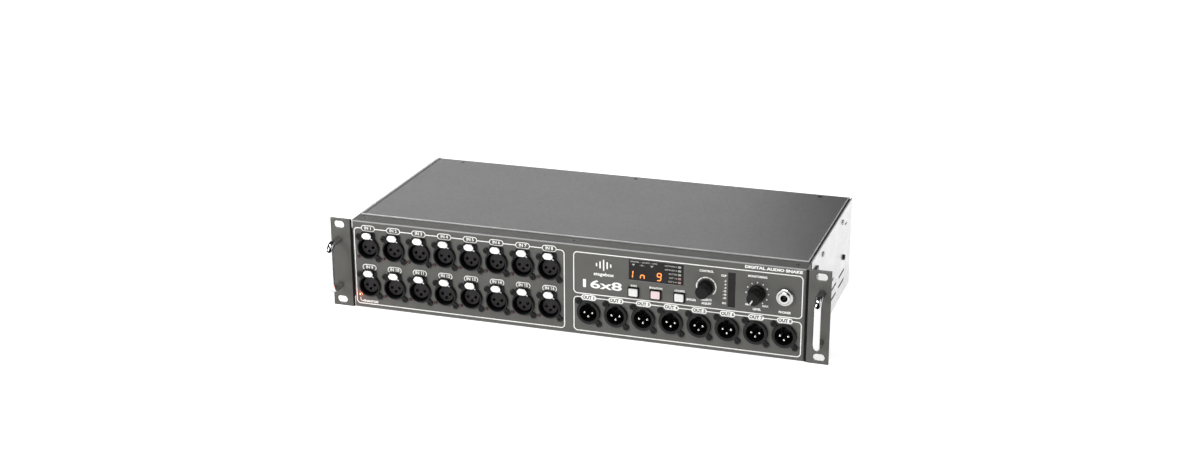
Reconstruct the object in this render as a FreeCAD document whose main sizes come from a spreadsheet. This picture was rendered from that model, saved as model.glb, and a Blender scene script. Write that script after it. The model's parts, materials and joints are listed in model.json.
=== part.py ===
import FreeCAD, Part
import math
import os
import re
import Sketcher
from FreeCAD import Placement, Rotation, Vector

# A two-unit, 19-inch rack stage box: sixteen microphone inputs, eight line outputs, a small control
# field and a mains-powered case with removable rack ears.
#
# Frame: +X to the right seen from the front, +Y towards the rear, +Z up. The origin is the centre of
# the rack-slot pattern on the rear face of the ears, where they meet the rack rails.
SIZES = {
    # case
    "rack_wide": 482.6, "rack_tall": 88.1, "case_wide": 440.0, "case_back": 209.0,
    "face": -2.0, "sheet": 1.2, "flange_end": 16.0, "bend": 2.0, "fold_gap": 0.2,
    "panel_inset": 0.8,
    "tab_end": 40.0, "lip_end": 30.0, "lip_inset": 8.0, "cover_inset": 2.8, "cover_skirt": 10.0,
    "skirt_start": 45.0, "skirt_end": 190.0, "rear_flange": 12.0, "rear_tab": 12.8,
    "floor_boss": 6.0, "boss_bore": 1.3,
    # vents of the side walls
    "vent_long": 27.0, "vent_tall": 2.5, "vent_first": 85.5, "vent_pitch": 40.0, "vent_rise": 10.0,
    "vent_low": -29.3, "vent_shift": 26.0,
    "hanger_y": 177.7, "hanger_z": 27.9, "hanger_long": 10.0, "hanger_tall": 2.2,
    # rack ears and handles
    "ear_thick": 2.0, "ear_leg": 34.0, "slot_x": 232.55, "slot_z": 38.1, "slot_long": 10.7, "slot_tall": 7.0,
    "ear_bend": 2.3, "ear_bolt_y": 24.0, "ear_bolt_z": 28.0, "ear_bolt_hole": 2.1,
    "grip_x": 233.5, "grip_z": 23.0, "grip_reach": 20.0, "grip_rod": 3.25, "grip_bend": 8.0,
    "grip_hole": 2.2, "grip_sink": 1.6, "grip_thread": 1.6, "grip_thread_deep": 10.0,
    # screws
    "case_screw_head": 2.5, "case_screw_cone": 1.0, "case_screw": 1.45, "case_screw_long": 6.0,
    "case_screw_hole": 1.6, "top_screw_x": 209.0, "top_screw_front": 7.5, "top_screw_rear": 203.0,
    "side_screw_front": 65.0, "side_screw_rear": 159.0, "side_screw_z": 35.0,
    "rear_screw_x": 212.0, "rear_screw_z": 25.0, "wall_screw_head": 2.6,
    "side_bolt_y": 169.7, "side_bolt_z": -4.1, "side_bolt_head": 2.8, "side_bolt_tall": 2.2,
    "side_bolt": 2.4, "side_bolt_hole": 2.5,
    "bolt_head": 3.6, "bolt_head_tall": 2.3, "bolt": 1.95, "bolt_long": 8.0,
    "grip_screw_long": 9.0, "cross_wide": 0.7, "cross_deep": 1.2,
    # microphone inputs
    "in_x": -202.4, "in_z": 17.8, "in_pitch": 26.0, "in_rise": 38.1,
    "flange_proud": 1.6, "lug_x": 10.0, "lug_z": 10.45, "lug": 2.8, "lug_web": 1.9,
    "lug_sink": 2.1, "lug_sink_deep": 1.0, "in_flange": 11.2, "in_barrel": 10.45, "in_cut": 10.6,
    "collar": 10.8, "collar_proud": 3.0, "in_bore": 9.6,
    "in_floor": 17.0, "socket_back": 20.5, "lobe_half": 7.0, "lobe_top": 16.0, "lobe_proud": 1.7,
    "channel_half": 2.6, "channel_low": 8.0, "channel_top": 10.5, "channel_end": 14.5,
    "insert": 7.7, "insert_front": -0.6, "spigot": 6.0, "spigot_room": 0.05, "pin_spread": 3.81,
    "insert_hole": 1.6, "contact": 1.55, "contact_bore": 1.15, "contact_sunk": 2.4,
    "contact_deep": 14.0,
    "tail": 0.5, "tail_end": 23.5, "lug_hole": 1.5,
    "tab_half": 5.8, "tab_flat": 2.9, "tab_low": 9.9, "tab_high": 15.9, "tab_proud": 4.8,
    "tab_thick": 1.3, "tab_corner": 2.4, "tab_room": 0.4, "stem_half": 2.2, "stem_low": 9.4,
    "stem_high": 10.2, "stem_end": 12.0, "hook_half": 1.5, "hook_low": 8.8, "hook_start": 6.0,
    "hook_end": 8.0,
    "lamp_x": -10.7, "lamp_z": -9.9, "lamp": 1.7, "lamp_room": 0.1, "lamp_proud": 0.7,
    # line outputs
    "out_x": 17.6, "out_z": -21.0, "out_pitch": 26.2, "ring_proud": 2.6, "out_bore": 8.5,
    "out_flange": 11.3, "out_barrel": 11.0, "out_cut": 11.15,
    "out_floor": 13.0, "key_half": 2.5, "key_low": 7.0, "key_top": 9.7, "key_end": 10.0,
    "pin": 1.2, "pin_tip": -3.6, "pin_room": 0.02,
    # connector screws
    "cap_screw_head": 1.95, "cap_screw_tall": 1.3, "cap_screw": 1.4, "cap_screw_long": 8.0,
    # display and meter
    "window_left": 56.0, "window_right": 107.5, "window_low": 15.5, "window_high": 35.3,
    "window_rim": 2.0, "window_room": 0.1, "window_step": 1.5, "window_set": 0.1,
    "meter_left": 148.5, "meter_right": 155.3, "meter_low": 0.0, "meter_high": 33.2,
    "module_gap": 0.2,
    # push-buttons
    "gain_x": 60.6, "phantom_x": 81.6, "config_x": 103.8, "button_z": 4.0,
    "cap_half_x": 4.2, "cap_half_z": 3.6, "cap_proud": 2.5, "cap_back": 0.6, "cap_skirt": 1.0,
    "gate_half_x": 5.2, "gate_half_z": 4.7, "skirt_half_x": 6.0, "skirt_half_z": 5.5,
    "stem": 1.7, "stem_tip": 6.0, "well": 2.0, "well_floor": 7.5, "switch_half": 3.1,
    "switch_front": 5.5, "cap_round": 0.8,
    # encoder and level control
    "encoder_x": 128.5, "encoder_z": 17.0, "level_x": 175.3, "level_z": 16.3,
    "bush": 3.5, "bush_room": 0.2, "bush_tip": -6.5, "shaft": 3.0, "shaft_room": 0.05,
    "shaft_flat": 1.5, "shaft_tip": -15.0, "shaft_end": 8.0, "block_half": 6.0, "block_front": 1.5,
    "rotor": 4.5, "rotor_room": 0.2, "rotor_front": 3.0, "rotor_back": 7.0, "well_back": 8.6,
    "knob_back": -3.2, "knob_tip": -18.6, "knob_skirt": 7.5, "knob_skirt_end": -6.4,
    "knob_grip": 6.3, "level_skirt": 8.2, "knob_cup": 6.0, "knob_cup_end": -7.2, "knob_bevel": 0.7,
    "nut_half": 5.0, "nut_thick": 2.2,
    # headphone socket
    "phones_x": 200.5, "phones_z": 16.0, "phones_bush": 5.6, "phones_bore": 3.25,
    "phones_tip": -7.0, "phones_deep": 24.0, "phones_half": 7.9, "phones_back": 28.0,
    "ring_nut": 7.9, "ring_nut_thick": 3.2, "ring_nut_bevel": 0.6,
    # boards
    "board": 1.6, "card_left": 52.0, "card_right": 188.0, "card_low": -1.0, "card_high": 37.0,
    "card_front": 9.0, "wide_card_half": 213.0, "wide_card_low": -40.5, "wide_card_high": 38.0,
    "wide_card_split": 2.0, "wide_card_step": -5.0,
    "main_left": -95.0, "main_right": 205.0, "main_front": 60.0, "main_back": 196.0,
    "supply_left": -208.0, "supply_right": -106.0, "supply_front": 70.0, "supply_back": 176.0,
    # rear sockets
    "rear_proud": 0.4, "inlet_x": -168.0, "inlet_z": -18.0, "inlet_half_x": 31.0,
    "inlet_half_z": 15.0, "inlet_bezel": 2.5, "inlet_body_x": 28.0, "inlet_body_z": 13.2,
    "inlet_front": 182.0, "mains_x": -13.0, "mains_half_x": 12.3, "mains_half_z": 8.3,
    "mains_floor": 195.0, "mains_corner": 4.0, "blade_tip": 206.5, "blade_root": 176.0,
    "blade_wide": 1.0, "blade_tall": 2.0, "blade_spread": 7.0, "blade_drop": 2.0,
    "rocker_x": 18.0, "rocker_half": 5.2, "rocker_room": 0.4, "rocker_axis": 208.6,
    "rocker_slot": 9.9, "rocker_floor": 199.0, "rocker_pin": 1.2, "rocker_pin_room": 0.05,
    "rocker_pin_end": 6.8, "rocker_tilt": 10.0,
    "net_x": 60.0, "net_pitch": 22.0, "net_half": 8.0, "net_tall": 13.5, "net_front": 190.0,
    "net_port": 5.95, "net_port_low": 1.6, "net_port_high": 9.2, "net_key": 1.6, "net_key_top": 11.4,
    "net_floor": 196.0,
    "midi_x": 132.0, "midi_pitch": 22.0, "midi_half": 9.5, "midi_tall": 19.5, "midi_front": 194.0,
    "midi_rise": 9.75, "midi_groove": 6.9, "midi_disc": 5.6, "midi_deep": 8.0, "midi_hole": 0.8,
    "midi_circle": 3.75,
    "usb_x": 178.0, "usb_half": 6.0, "usb_tall": 11.0, "usb_front": 193.0, "usb_port": 4.25,
    "usb_port_low": 1.7, "usb_port_high": 9.3, "usb_tongue": 2.8, "usb_tongue_low": 3.9,
    "usb_tongue_high": 7.1, "usb_floor": 199.0, "cut_room": 0.2,
}

# For each base plane: the sign of the sketch normal along the row axis that the plane faces.
NORMAL = {"XY_Plane": 1, "XZ_Plane": -1, "YZ_Plane": 1}

doc = FreeCAD.newDocument("stage_box")
sheet = doc.addObject("Spreadsheet::Sheet", "Sizes")
for row, (alias, number) in enumerate(SIZES.items(), start=1):
    sheet.set(f"A{row}", alias)
    sheet.set(f"B{row}", str(number))
    sheet.setAlias(f"B{row}", alias)
doc.recompute()

nodes = []


def formula(text):
    """A size formula with each size name turned into a reference to its cell."""
    return re.sub(r"[a-z]\w*", lambda m: f"Sizes.{m[0]}" if m[0] in SIZES else m[0], str(text))


def size(text):
    """The number that a size formula comes to, in millimetres."""
    return float(sheet.evalExpression(formula(text)))


# ---------------------------------------------------------------- sketches


def pin_point(drawing, geometry, point, across, up):
    """Dimensions one point of a sketch from the sketch's origin."""
    for kind, text in (("DistanceX", across), ("DistanceY", up)):
        spot = drawing.addConstraint(Sketcher.Constraint(kind, geometry, point, size(text)))
        drawing.setExpression(f"Constraints[{spot}]", formula(text))


def set_radius(drawing, geometry, text):
    spot = drawing.addConstraint(Sketcher.Constraint("Radius", geometry, size(text)))
    drawing.setExpression(f"Constraints[{spot}]", formula(text))


def draw_circle(drawing, across, up, radius):
    centre = Vector(size(across), size(up), 0)
    ring = drawing.addGeometry(Part.Circle(centre, Vector(0, 0, 1), size(radius)))
    pin_point(drawing, ring, 3, across, up)
    set_radius(drawing, ring, radius)


def draw_polygon(drawing, corners):
    spots = [Vector(size(across), size(up), 0) for across, up in corners]
    first = drawing.GeometryCount
    for number, spot in enumerate(spots):
        drawing.addGeometry(Part.LineSegment(spot, spots[(number + 1) % len(spots)]))
    for number, (across, up) in enumerate(corners):
        after = first + (number + 1) % len(corners)
        drawing.addConstraint(Sketcher.Constraint("Coincident", first + number, 2, after, 1))
        pin_point(drawing, first + number, 1, across, up)


def draw_box(drawing, left, low, right, high):
    draw_polygon(drawing, [(left, low), (right, low), (right, high), (left, high)])


def draw_capsule(drawing, across, up, length, height):
    """A slot with round ends that runs along the sketch's first axis."""
    reach = f"(({length}) - ({height})) / 2"
    radius = f"({height}) / 2"
    right = Vector(size(f"{across} + {reach}"), size(up), 0)
    left = Vector(size(f"{across} - {reach}"), size(up), 0)
    rise = Vector(0, size(radius), 0)
    quarter = math.pi / 2
    first = drawing.GeometryCount
    for centre, start in ((right, -quarter), (left, quarter)):
        circle = Part.Circle(centre, Vector(0, 0, 1), size(radius))
        drawing.addGeometry(Part.ArcOfCircle(circle, start, start + math.pi))
    drawing.addGeometry(Part.LineSegment(right + rise, left + rise))
    drawing.addGeometry(Part.LineSegment(left - rise, right - rise))
    for one, end, other, start in ((0, 2, 2, 1), (2, 2, 1, 1), (1, 2, 3, 1), (3, 2, 0, 1)):
        drawing.addConstraint(
            Sketcher.Constraint("Tangent", first + one, end, first + other, start))
    pin_point(drawing, first, 3, f"{across} + {reach}", up)
    pin_point(drawing, first + 1, 3, f"{across} - {reach}", up)
    set_radius(drawing, first, radius)
    drawing.addConstraint(Sketcher.Constraint("Equal", first, first + 1))


DRAW = {"circle": draw_circle, "box": draw_box, "polygon": draw_polygon, "capsule": draw_capsule}


def sketch(body, name, plane, height, loops):
    """A sketch parallel to a base plane of its body, at a height along the row axis it faces."""
    drawing = body.newObject("Sketcher::SketchObject", f"{name}_sketch")
    base = next(item for item in body.Origin.OriginFeatures if item.Role == plane)
    drawing.AttachmentSupport = (base, [""])
    drawing.MapMode = "FlatFace"
    drawing.setExpression("AttachmentOffset.Base.z", formula(f"{NORMAL[plane]} * ({height})"))
    for kind, *numbers in loops:
        DRAW[kind](drawing, *numbers)
    return drawing


# ---------------------------------------------------------------- features


def new_body(label, place=("0", "0", "0"), node=True):
    """A body whose own origin is at a place in the row frame, given by three size formulas."""
    body = doc.addObject("PartDesign::Body", label)
    body.Label = label
    body.AllowCompound = True
    for axis, text in zip("xyz", place):
        body.setExpression(f"Placement.Base.{axis}", formula(text))
    if node:
        nodes.append(body)
    return body


def pad(body, name, plane, loops, low, high):
    """Adds the loops as a solid from low to high along the axis that the plane faces."""
    start = low if NORMAL[plane] > 0 else high
    feature = body.newObject("PartDesign::Pad", name)
    feature.Profile = sketch(body, name, plane, start, loops)
    feature.setExpression("Length", formula(f"({high}) - ({low})"))
    return feature


def pocket(body, name, plane, loops, low, high):
    """Cuts the loops out from low to high along the axis that the plane faces."""
    start = high if NORMAL[plane] > 0 else low
    feature = body.newObject("PartDesign::Pocket", name)
    feature.Profile = sketch(body, name, plane, start, loops)
    feature.setExpression("Length", formula(f"({high}) - ({low})"))
    return feature


def dress(body, kind, name, measure, text, chosen):
    """Rounds or bevels the chosen edges of the body as it is so far."""
    doc.recompute()
    base = body.Tip
    edges = [f"Edge{number}" for number, edge in enumerate(base.Shape.Edges, start=1)
             if chosen(edge)]
    if not edges:
        raise RuntimeError(f"{name} in {body.Label} finds no edge")
    feature = body.newObject(kind, name)
    feature.Base = (base, edges)
    feature.setExpression(measure, formula(text))
    return feature


def fillet(body, name, radius, chosen):
    return dress(body, "PartDesign::Fillet", name, "Radius", radius, chosen)


def chamfer(body, name, width, chosen):
    return dress(body, "PartDesign::Chamfer", name, "Size", width, chosen)


def repeat(body, name, axis, pitch, count, backwards=False, features=None):
    """Repeats the whole body, or some of its features, in a row along one of its axes."""
    doc.recompute()
    feature = body.newObject("PartDesign::LinearPattern", name)
    if features is None:
        feature.TransformMode = "Whole shape"
    else:
        feature.Originals = features
    line = next(item for item in body.Origin.OriginFeatures if item.Role == axis)
    feature.Direction = (line, [""])
    feature.Reversed = backwards
    feature.Mode = "Spacing"
    feature.Occurrences = count
    feature.setExpression("Offset", formula(pitch))
    body.Tip = feature
    return feature


def points_of(edge):
    first, last = edge.ParameterRange
    return [edge.valueAt(first + (last - first) * share) for share in (0, 0.37, 0.71, 1)]


def lies_at(edge, axis, text):
    """Whether an edge lies in the plane where the row axis has this value."""
    return all(abs(getattr(point, axis) - size(text)) < 1e-4 for point in points_of(edge))


def is_round(edge, text):
    """Whether an edge is part of a circle of this radius."""
    return hasattr(edge.Curve, "Radius") and abs(edge.Curve.Radius - size(text)) < 1e-4


def copies(label, *groups):
    """One node of separate solids: copies of each group's prototype at each of its placements."""
    doc.recompute()
    solids = []
    for prototype, places in groups:
        for place in places:
            solid = prototype.Shape.copy()
            solid.Placement = place
            solids.append(solid)
    group = doc.addObject("Part::Feature", label)
    group.Label = label
    group.Shape = Part.makeCompound(solids)
    group.Placement = Placement()
    nodes.append(group)


# ---------------------------------------------------------------- case


def make_chassis_tray():
    """Folded floor and side walls, with tabs behind the front and rear panels and board bosses."""
    body = new_body("chassis_tray")
    half, floor, top = "case_wide / 2", "-rack_tall / 2", "rack_tall / 2"
    pad(body, "shell", "XZ_Plane", [("polygon", [
        (f"-({half})", floor), (half, floor), (half, top), (f"{half} - sheet", top),
        (f"{half} - sheet", f"{floor} + sheet"), (f"-({half}) + sheet", f"{floor} + sheet"),
        (f"-({half}) + sheet", top), (f"-({half})", top)])],
        "flange_end + fold_gap", "case_back")
    for name, near, far, start in (
            ("side_joggles", "sheet", "sheet + panel_inset", "flange_end + fold_gap"),
            ("side_tabs", "sheet + panel_inset", "2 * sheet + panel_inset", "face + 2 * sheet")):
        pad(body, name, "XZ_Plane", [
            ("box", f"{side} * ({half} - ({near}))", f"{floor} + 2 * sheet + 0.5",
             f"{side} * ({half} - ({far}))", f"{top} - 2 * sheet - 0.5") for side in (1, -1)],
            start, "tab_end")
    pad(body, "floor_tab", "XZ_Plane", [
        ("box", f"-({half}) + lip_inset", f"{floor} + sheet", f"{half} - lip_inset",
         f"{floor} + 2 * sheet")], "face + 2 * sheet", "lip_end")
    pad(body, "rear_tabs", "XZ_Plane", [
        ("box", f"{side} * ({half} - sheet)", "-rear_screw_z - 5",
         f"{side} * ({half} - sheet - rear_tab)", "rear_screw_z + 5") for side in (1, -1)],
        "case_back - 2 * sheet", "case_back - sheet")
    pad(body, "bosses", "XY_Plane", [("circle", x, y, "3") for x, y in board_corners()],
        f"{floor} + sheet", f"{floor} + sheet + floor_boss")
    pocket(body, "boss_bores", "XY_Plane", [
        ("circle", x, y, "boss_bore") for x, y in board_corners()],
        f"{floor} + 2 * sheet", f"{floor} + sheet + floor_boss")
    vents = [("capsule", f"vent_first + {column} * vent_pitch", f"vent_low + {row} * vent_rise",
              "vent_long", "vent_tall") for column in range(3) for row in range(2)]
    vents += [("capsule", f"vent_first + vent_shift + {column} * vent_pitch - vent_pitch",
               "vent_low + 2 * vent_rise", "vent_long", "vent_tall") for column in range(2)]
    holes = [("circle", "ear_bolt_y", f"{row} * ear_bolt_z", "ear_bolt_hole") for row in (-1, 0, 1)]
    holes += [("circle", y, "side_screw_z", "case_screw_hole")
              for y in ("side_screw_front", "side_screw_rear")]
    holes += [("circle", "side_bolt_y", "side_bolt_z", "side_bolt_hole"),
              ("capsule", "hanger_y", "hanger_z", "hanger_long", "hanger_tall")]
    pocket(body, "side_openings", "YZ_Plane", vents + holes, f"-({half}) - 1", f"{half} + 1")
    pocket(body, "rear_tab_holes", "XZ_Plane", rear_screw_holes(), "case_back - 3 * sheet",
           "case_back")


def board_corners():
    """Places of the bosses that carry the main board and the power supply."""
    inset = 6
    main = [(f"main_left + {inset}", f"main_front + {inset}"),
            (f"main_right - {inset}", f"main_front + {inset}"),
            (f"main_left + {inset}", f"main_back - {inset}"),
            (f"main_right - {inset}", f"main_back - {inset}")]
    supply = [(f"supply_left + {inset}", f"supply_front + {inset}"),
              (f"supply_right - {inset}", f"supply_front + {inset}"),
              (f"supply_left + {inset}", f"supply_back - {inset}"),
              (f"supply_right - {inset}", f"supply_back - {inset}")]
    return main + supply


def rear_screw_holes():
    return [("circle", f"{side} * rear_screw_x", f"{row} * rear_screw_z", "case_screw_hole")
            for side in (-1, 1) for row in (-1, 1)]


def make_rear_panel():
    """Rear wall between the side walls, with flanges under the cover and on the floor."""
    body = new_body("rear_panel")
    half, high = "case_wide / 2 - sheet - fold_gap", "rack_tall / 2 - sheet"
    pad(body, "wall", "XZ_Plane", [("box", f"-({half})", f"-({high})", half, high)],
        "case_back - sheet", "case_back")
    pad(body, "flanges", "XZ_Plane", [
        ("box", "-case_wide / 2 + rear_tab + 6", f"{row} * ({high})", "case_wide / 2 - rear_tab - 6",
         f"{row} * ({high} - sheet)") for row in (1, -1)],
        "case_back - sheet - rear_flange", "case_back - sheet")
    pocket(body, "cover_holes", "XY_Plane", [
        ("circle", x, "top_screw_rear", "case_screw_hole") for x in rear_cover_screws()],
        f"{high} - 2 * sheet", f"{high} + sheet")
    board_top = "-rack_tall / 2 + sheet + floor_boss + board"
    ports = [("box", f"net_x + {number} * net_pitch - net_half - cut_room", board_top,
              f"net_x + {number} * net_pitch + net_half + cut_room",
              f"{board_top} + net_tall + cut_room") for number in range(3)]
    ports += [("circle", f"midi_x + {number} * midi_pitch", f"{board_top} + midi_rise",
               "midi_half - 1") for number in range(2)]
    ports += [("box", "usb_x - usb_half - cut_room", board_top, "usb_x + usb_half + cut_room",
               f"{board_top} + usb_tall + cut_room")]
    ports += [("box", "inlet_x - inlet_body_x - cut_room", "inlet_z - inlet_body_z - cut_room",
               "inlet_x + inlet_body_x + cut_room", "inlet_z + inlet_body_z + cut_room")]
    pocket(body, "ports", "XZ_Plane", ports + rear_screw_holes(), "case_back - 2 * sheet",
           "case_back + sheet")


def rear_cover_screws():
    return ["-top_screw_x + 20", "0", "top_screw_x - 20"]


def make_front_panel():
    """Shallow folded front: face, top and bottom flanges and side returns."""
    body = new_body("front_panel")
    half, high = "(case_wide / 2 - panel_inset)", "rack_tall / 2"
    pad(body, "pan", "XZ_Plane", [("box", f"-({half})", f"-({high})", half, high)],
        "face", "flange_end")
    fillet(body, "bends", "bend", lambda edge: lies_at(edge, "y", "face"))
    pocket(body, "pan_inside", "XZ_Plane", [
        ("box", f"-({half}) + sheet", f"-({high}) + sheet", f"{half} - sheet", f"{high} - sheet")],
        "face + sheet", "flange_end")
    bore = pocket(body, "input_bore", "XZ_Plane", [
        ("circle", "in_x", "in_z", "in_cut"),
        ("circle", "in_x - lug_x", "in_z + lug_z", "lug_hole"),
        ("circle", "in_x + lug_x", "in_z - lug_z", "lug_hole"),
        ("circle", "in_x + lamp_x", "in_z + lamp_z", "lamp + lamp_room")],
        "face - 1", "face + 2 * sheet")
    doc.recompute()
    grid = body.newObject("PartDesign::MultiTransform", "input_grid")
    grid.Originals = [bore]
    steps = []
    for axis, pitch, count, backwards in (("X_Axis", "in_pitch", 8, False),
                                          ("Z_Axis", "in_rise", 2, True)):
        step = body.newObject("PartDesign::LinearPattern", f"input_step_{axis[0].lower()}")
        step.Direction = (next(i for i in body.Origin.OriginFeatures if i.Role == axis), [""])
        step.Reversed = backwards
        step.Mode = "Spacing"
        step.Occurrences = count
        step.setExpression("Offset", formula(pitch))
        steps.append(step)
    grid.Transformations = steps
    body.Tip = grid
    bore = pocket(body, "output_bore", "XZ_Plane", [
        ("circle", "out_x", "out_z", "out_cut"),
        ("circle", "out_x - lug_x", "out_z + lug_z", "lug_hole"),
        ("circle", "out_x + lug_x", "out_z - lug_z", "lug_hole")],
        "face - 1", "face + 2 * sheet")
    repeat(body, "output_row", "X_Axis", "out_pitch", 8, features=[bore])
    controls = [("box", "window_left", "window_low", "window_right", "window_high"),
                ("box", "meter_left", "meter_low", "meter_right", "meter_high"),
                ("circle", "encoder_x", "encoder_z", "bush + bush_room"),
                ("circle", "level_x", "level_z", "bush + bush_room"),
                ("circle", "phones_x", "phones_z", "phones_bush + bush_room")]
    controls += [("box", f"{x} - gate_half_x", "button_z - gate_half_z", f"{x} + gate_half_x",
                  "button_z + gate_half_z") for x in ("gain_x", "phantom_x", "config_x")]
    pocket(body, "control_openings", "XZ_Plane", controls, "face - 1", "face + 2 * sheet")
    pocket(body, "cover_holes", "XY_Plane", [
        ("circle", x, "top_screw_front", "case_screw_hole")
        for x in ("-top_screw_x", "0", "top_screw_x")],
        f"{high} - 2 * sheet", f"{high} + sheet")
    chamfer(body, "cover_sinks", "case_screw_cone", lambda edge: lies_at(edge, "z", high)
            and is_round(edge, "case_screw_hole"))


def make_top_cover():
    """Flat cover with a lip under the front flange and skirts beside the walls."""
    body = new_body("top_cover")
    half, high = "case_wide / 2 - cover_inset", "rack_tall / 2"
    pad(body, "plate", "XY_Plane", [
        ("box", f"-({half})", "flange_end + fold_gap", half, "case_back")],
        f"{high} - sheet", high)
    pad(body, "lip", "XY_Plane", [
        ("box", "-case_wide / 2 + lip_inset", "face + 2 * sheet", "case_wide / 2 - lip_inset",
         "lip_end")], f"{high} - 2 * sheet", f"{high} - sheet")
    pad(body, "skirts", "YZ_Plane", [
        ("box", "skirt_start", f"{high} - cover_skirt", "skirt_end", f"{high} - sheet")],
        f"{half} - sheet", half)
    pad(body, "left_skirt", "YZ_Plane", [
        ("box", "skirt_start", f"{high} - cover_skirt", "skirt_end", f"{high} - sheet")],
        f"-({half})", f"-({half}) + sheet")
    pocket(body, "holes", "XY_Plane", [
        ("circle", x, "top_screw_rear", "case_screw_hole") for x in rear_cover_screws()],
        f"{high} - 2 * sheet", f"{high} + sheet")
    chamfer(body, "sinks", "case_screw_cone", lambda edge: lies_at(edge, "z", high)
            and is_round(edge, "case_screw_hole"))
    pocket(body, "lip_holes", "XY_Plane", [
        ("circle", x, "top_screw_front", "case_screw_hole")
        for x in ("-top_screw_x", "0", "top_screw_x")],
        f"{high} - 3 * sheet", f"{high} - sheet")
    pocket(body, "side_holes", "YZ_Plane", [
        ("circle", y, "side_screw_z", "case_screw_hole")
        for y in ("side_screw_front", "side_screw_rear")], f"-({half}) - 1", f"{half} + 1")


def make_ear(label, side):
    """Angle ear: slotted front plate and a flange along the side wall."""
    body = new_body(label)
    wall, high = "case_wide / 2", "rack_tall / 2"
    pad(body, "angle", "XY_Plane", [("polygon", [
        (f"{side} * {x}", y) for x, y in (
            (f"({wall})", "face"), ("rack_wide / 2", "face"), ("rack_wide / 2", "0"),
            (f"({wall} + ear_thick)", "0"), (f"({wall} + ear_thick)", "tab_end - 2"),
            (f"({wall})", "tab_end - 2"))])],
        f"-({high})", high)
    fillet(body, "bend", "ear_bend", lambda edge: lies_at(edge, "y", "face")
           and lies_at(edge, "x", f"{side} * {wall}"))
    across = sorted((f"{side} * ({wall} - 1)", f"{side} * ({wall} + ear_thick + 1)"), key=size)
    pocket(body, "leg_trims", "YZ_Plane", [
        ("box", "0", f"{row} * ear_leg", "tab_end", f"{row} * ({high} + 1)") for row in (-1, 1)],
        *across)
    pocket(body, "slots", "XZ_Plane", [
        ("capsule", f"{side} * slot_x", f"{row} * slot_z", "slot_long", "slot_tall")
        for row in (-1, 1)], "face - 1", "1")
    pocket(body, "grip_holes", "XZ_Plane", [
        ("circle", f"{side} * grip_x", f"{row} * grip_z", "grip_hole") for row in (-1, 1)],
        "face - 1", "1")
    chamfer(body, "grip_sinks", "grip_sink", lambda edge: lies_at(edge, "y", "0")
            and is_round(edge, "grip_hole"))
    pocket(body, "wall_holes", "YZ_Plane", [
        ("circle", "ear_bolt_y", f"{row} * ear_bolt_z", "ear_bolt_hole") for row in (-1, 0, 1)],
        *across)


def make_handle(label, side):
    """Chromed rod bent to a bow, with a threaded hole in each foot."""
    body = new_body(label, (f"{side} * grip_x", "face", "0"))
    reach, leg, turn = size("grip_reach"), size("grip_z"), size("grip_bend")
    path = sketch(body, "bow", "YZ_Plane", "0", [])
    skew = turn * (1 - math.sqrt(0.5))
    low_foot, low_turn = Vector(0, -leg, 0), Vector(turn - reach, -leg, 0)
    low_bar, high_bar = Vector(-reach, turn - leg, 0), Vector(-reach, leg - turn, 0)
    high_turn, high_foot = Vector(turn - reach, leg, 0), Vector(0, leg, 0)
    low_middle = Vector(skew - reach, skew - leg, 0)
    high_middle = Vector(skew - reach, leg - skew, 0)
    path.addGeometry([
        Part.LineSegment(low_foot, low_turn),
        Part.ArcOfCircle(low_turn, low_middle, low_bar),
        Part.LineSegment(low_bar, high_bar),
        Part.ArcOfCircle(high_bar, high_middle, high_turn),
        Part.LineSegment(high_turn, high_foot)])
    pin_point(path, 0, 1, "0", "-grip_z")
    pin_point(path, 0, 2, "grip_bend - grip_reach", "-grip_z")
    pin_point(path, 2, 1, "-grip_reach", "grip_bend - grip_z")
    pin_point(path, 2, 2, "-grip_reach", "grip_z - grip_bend")
    pin_point(path, 4, 1, "grip_bend - grip_reach", "grip_z")
    pin_point(path, 4, 2, "0", "grip_z")
    rod = sketch(body, "rod", "XZ_Plane", "0", [("circle", "0", "-grip_z", "grip_rod")])
    sweep = body.newObject("PartDesign::AdditivePipe", "sweep")
    sweep.Profile = rod
    sweep.Spine = (path, [])
    pocket(body, "threads", "XZ_Plane", [
        ("circle", "0", f"{row} * grip_z", "grip_thread") for row in (-1, 1)],
        "-grip_thread_deep", "0")


def make_screw(label, head, cone, drum, shank, length):
    """A cross-head screw along +Z with its head's underside, or its cone's top, at z = 0.

    drum is the height of a pan head above z = 0; cone is the depth of a countersunk head below it.
    """
    body = new_body(label, node=False)
    pad(body, "shank", "XY_Plane", [("circle", "0", "0", shank)], f"-({length})", "0")
    if drum != "0":
        pad(body, "head", "XY_Plane", [("circle", "0", "0", head)], "0", drum)
        fillet(body, "crown", f"({drum}) / 2", lambda edge: lies_at(edge, "z", drum))
    else:
        pad(body, "head", "XY_Plane", [("circle", "0", "0", head)], f"-({cone})", "0")
        chamfer(body, "taper", f"({cone}) * 0.98", lambda edge: lies_at(edge, "z", f"-({cone})")
                and is_round(edge, head))
    arm = f"({head}) * 0.6"
    pocket(body, "cross", "XY_Plane", [("polygon", [
        (arm, "-cross_wide / 2"), (arm, "cross_wide / 2"), ("cross_wide / 2", "cross_wide / 2"),
        ("cross_wide / 2", arm), ("-cross_wide / 2", arm), ("-cross_wide / 2", "cross_wide / 2"),
        (f"-{arm}", "cross_wide / 2"), (f"-{arm}", "-cross_wide / 2"),
        ("-cross_wide / 2", "-cross_wide / 2"), ("-cross_wide / 2", f"-{arm}"),
        ("cross_wide / 2", f"-{arm}"), ("cross_wide / 2", "-cross_wide / 2")])],
        f"{drum} - cross_deep", drum)
    return body


def aimed(x, y, z, axis):
    """Placement that turns a screw's +Z to an axis and puts it at a place in the row frame."""
    return Placement(Vector(size(x), size(y), size(z)), Rotation(Vector(0, 0, 1), axis))


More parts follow.
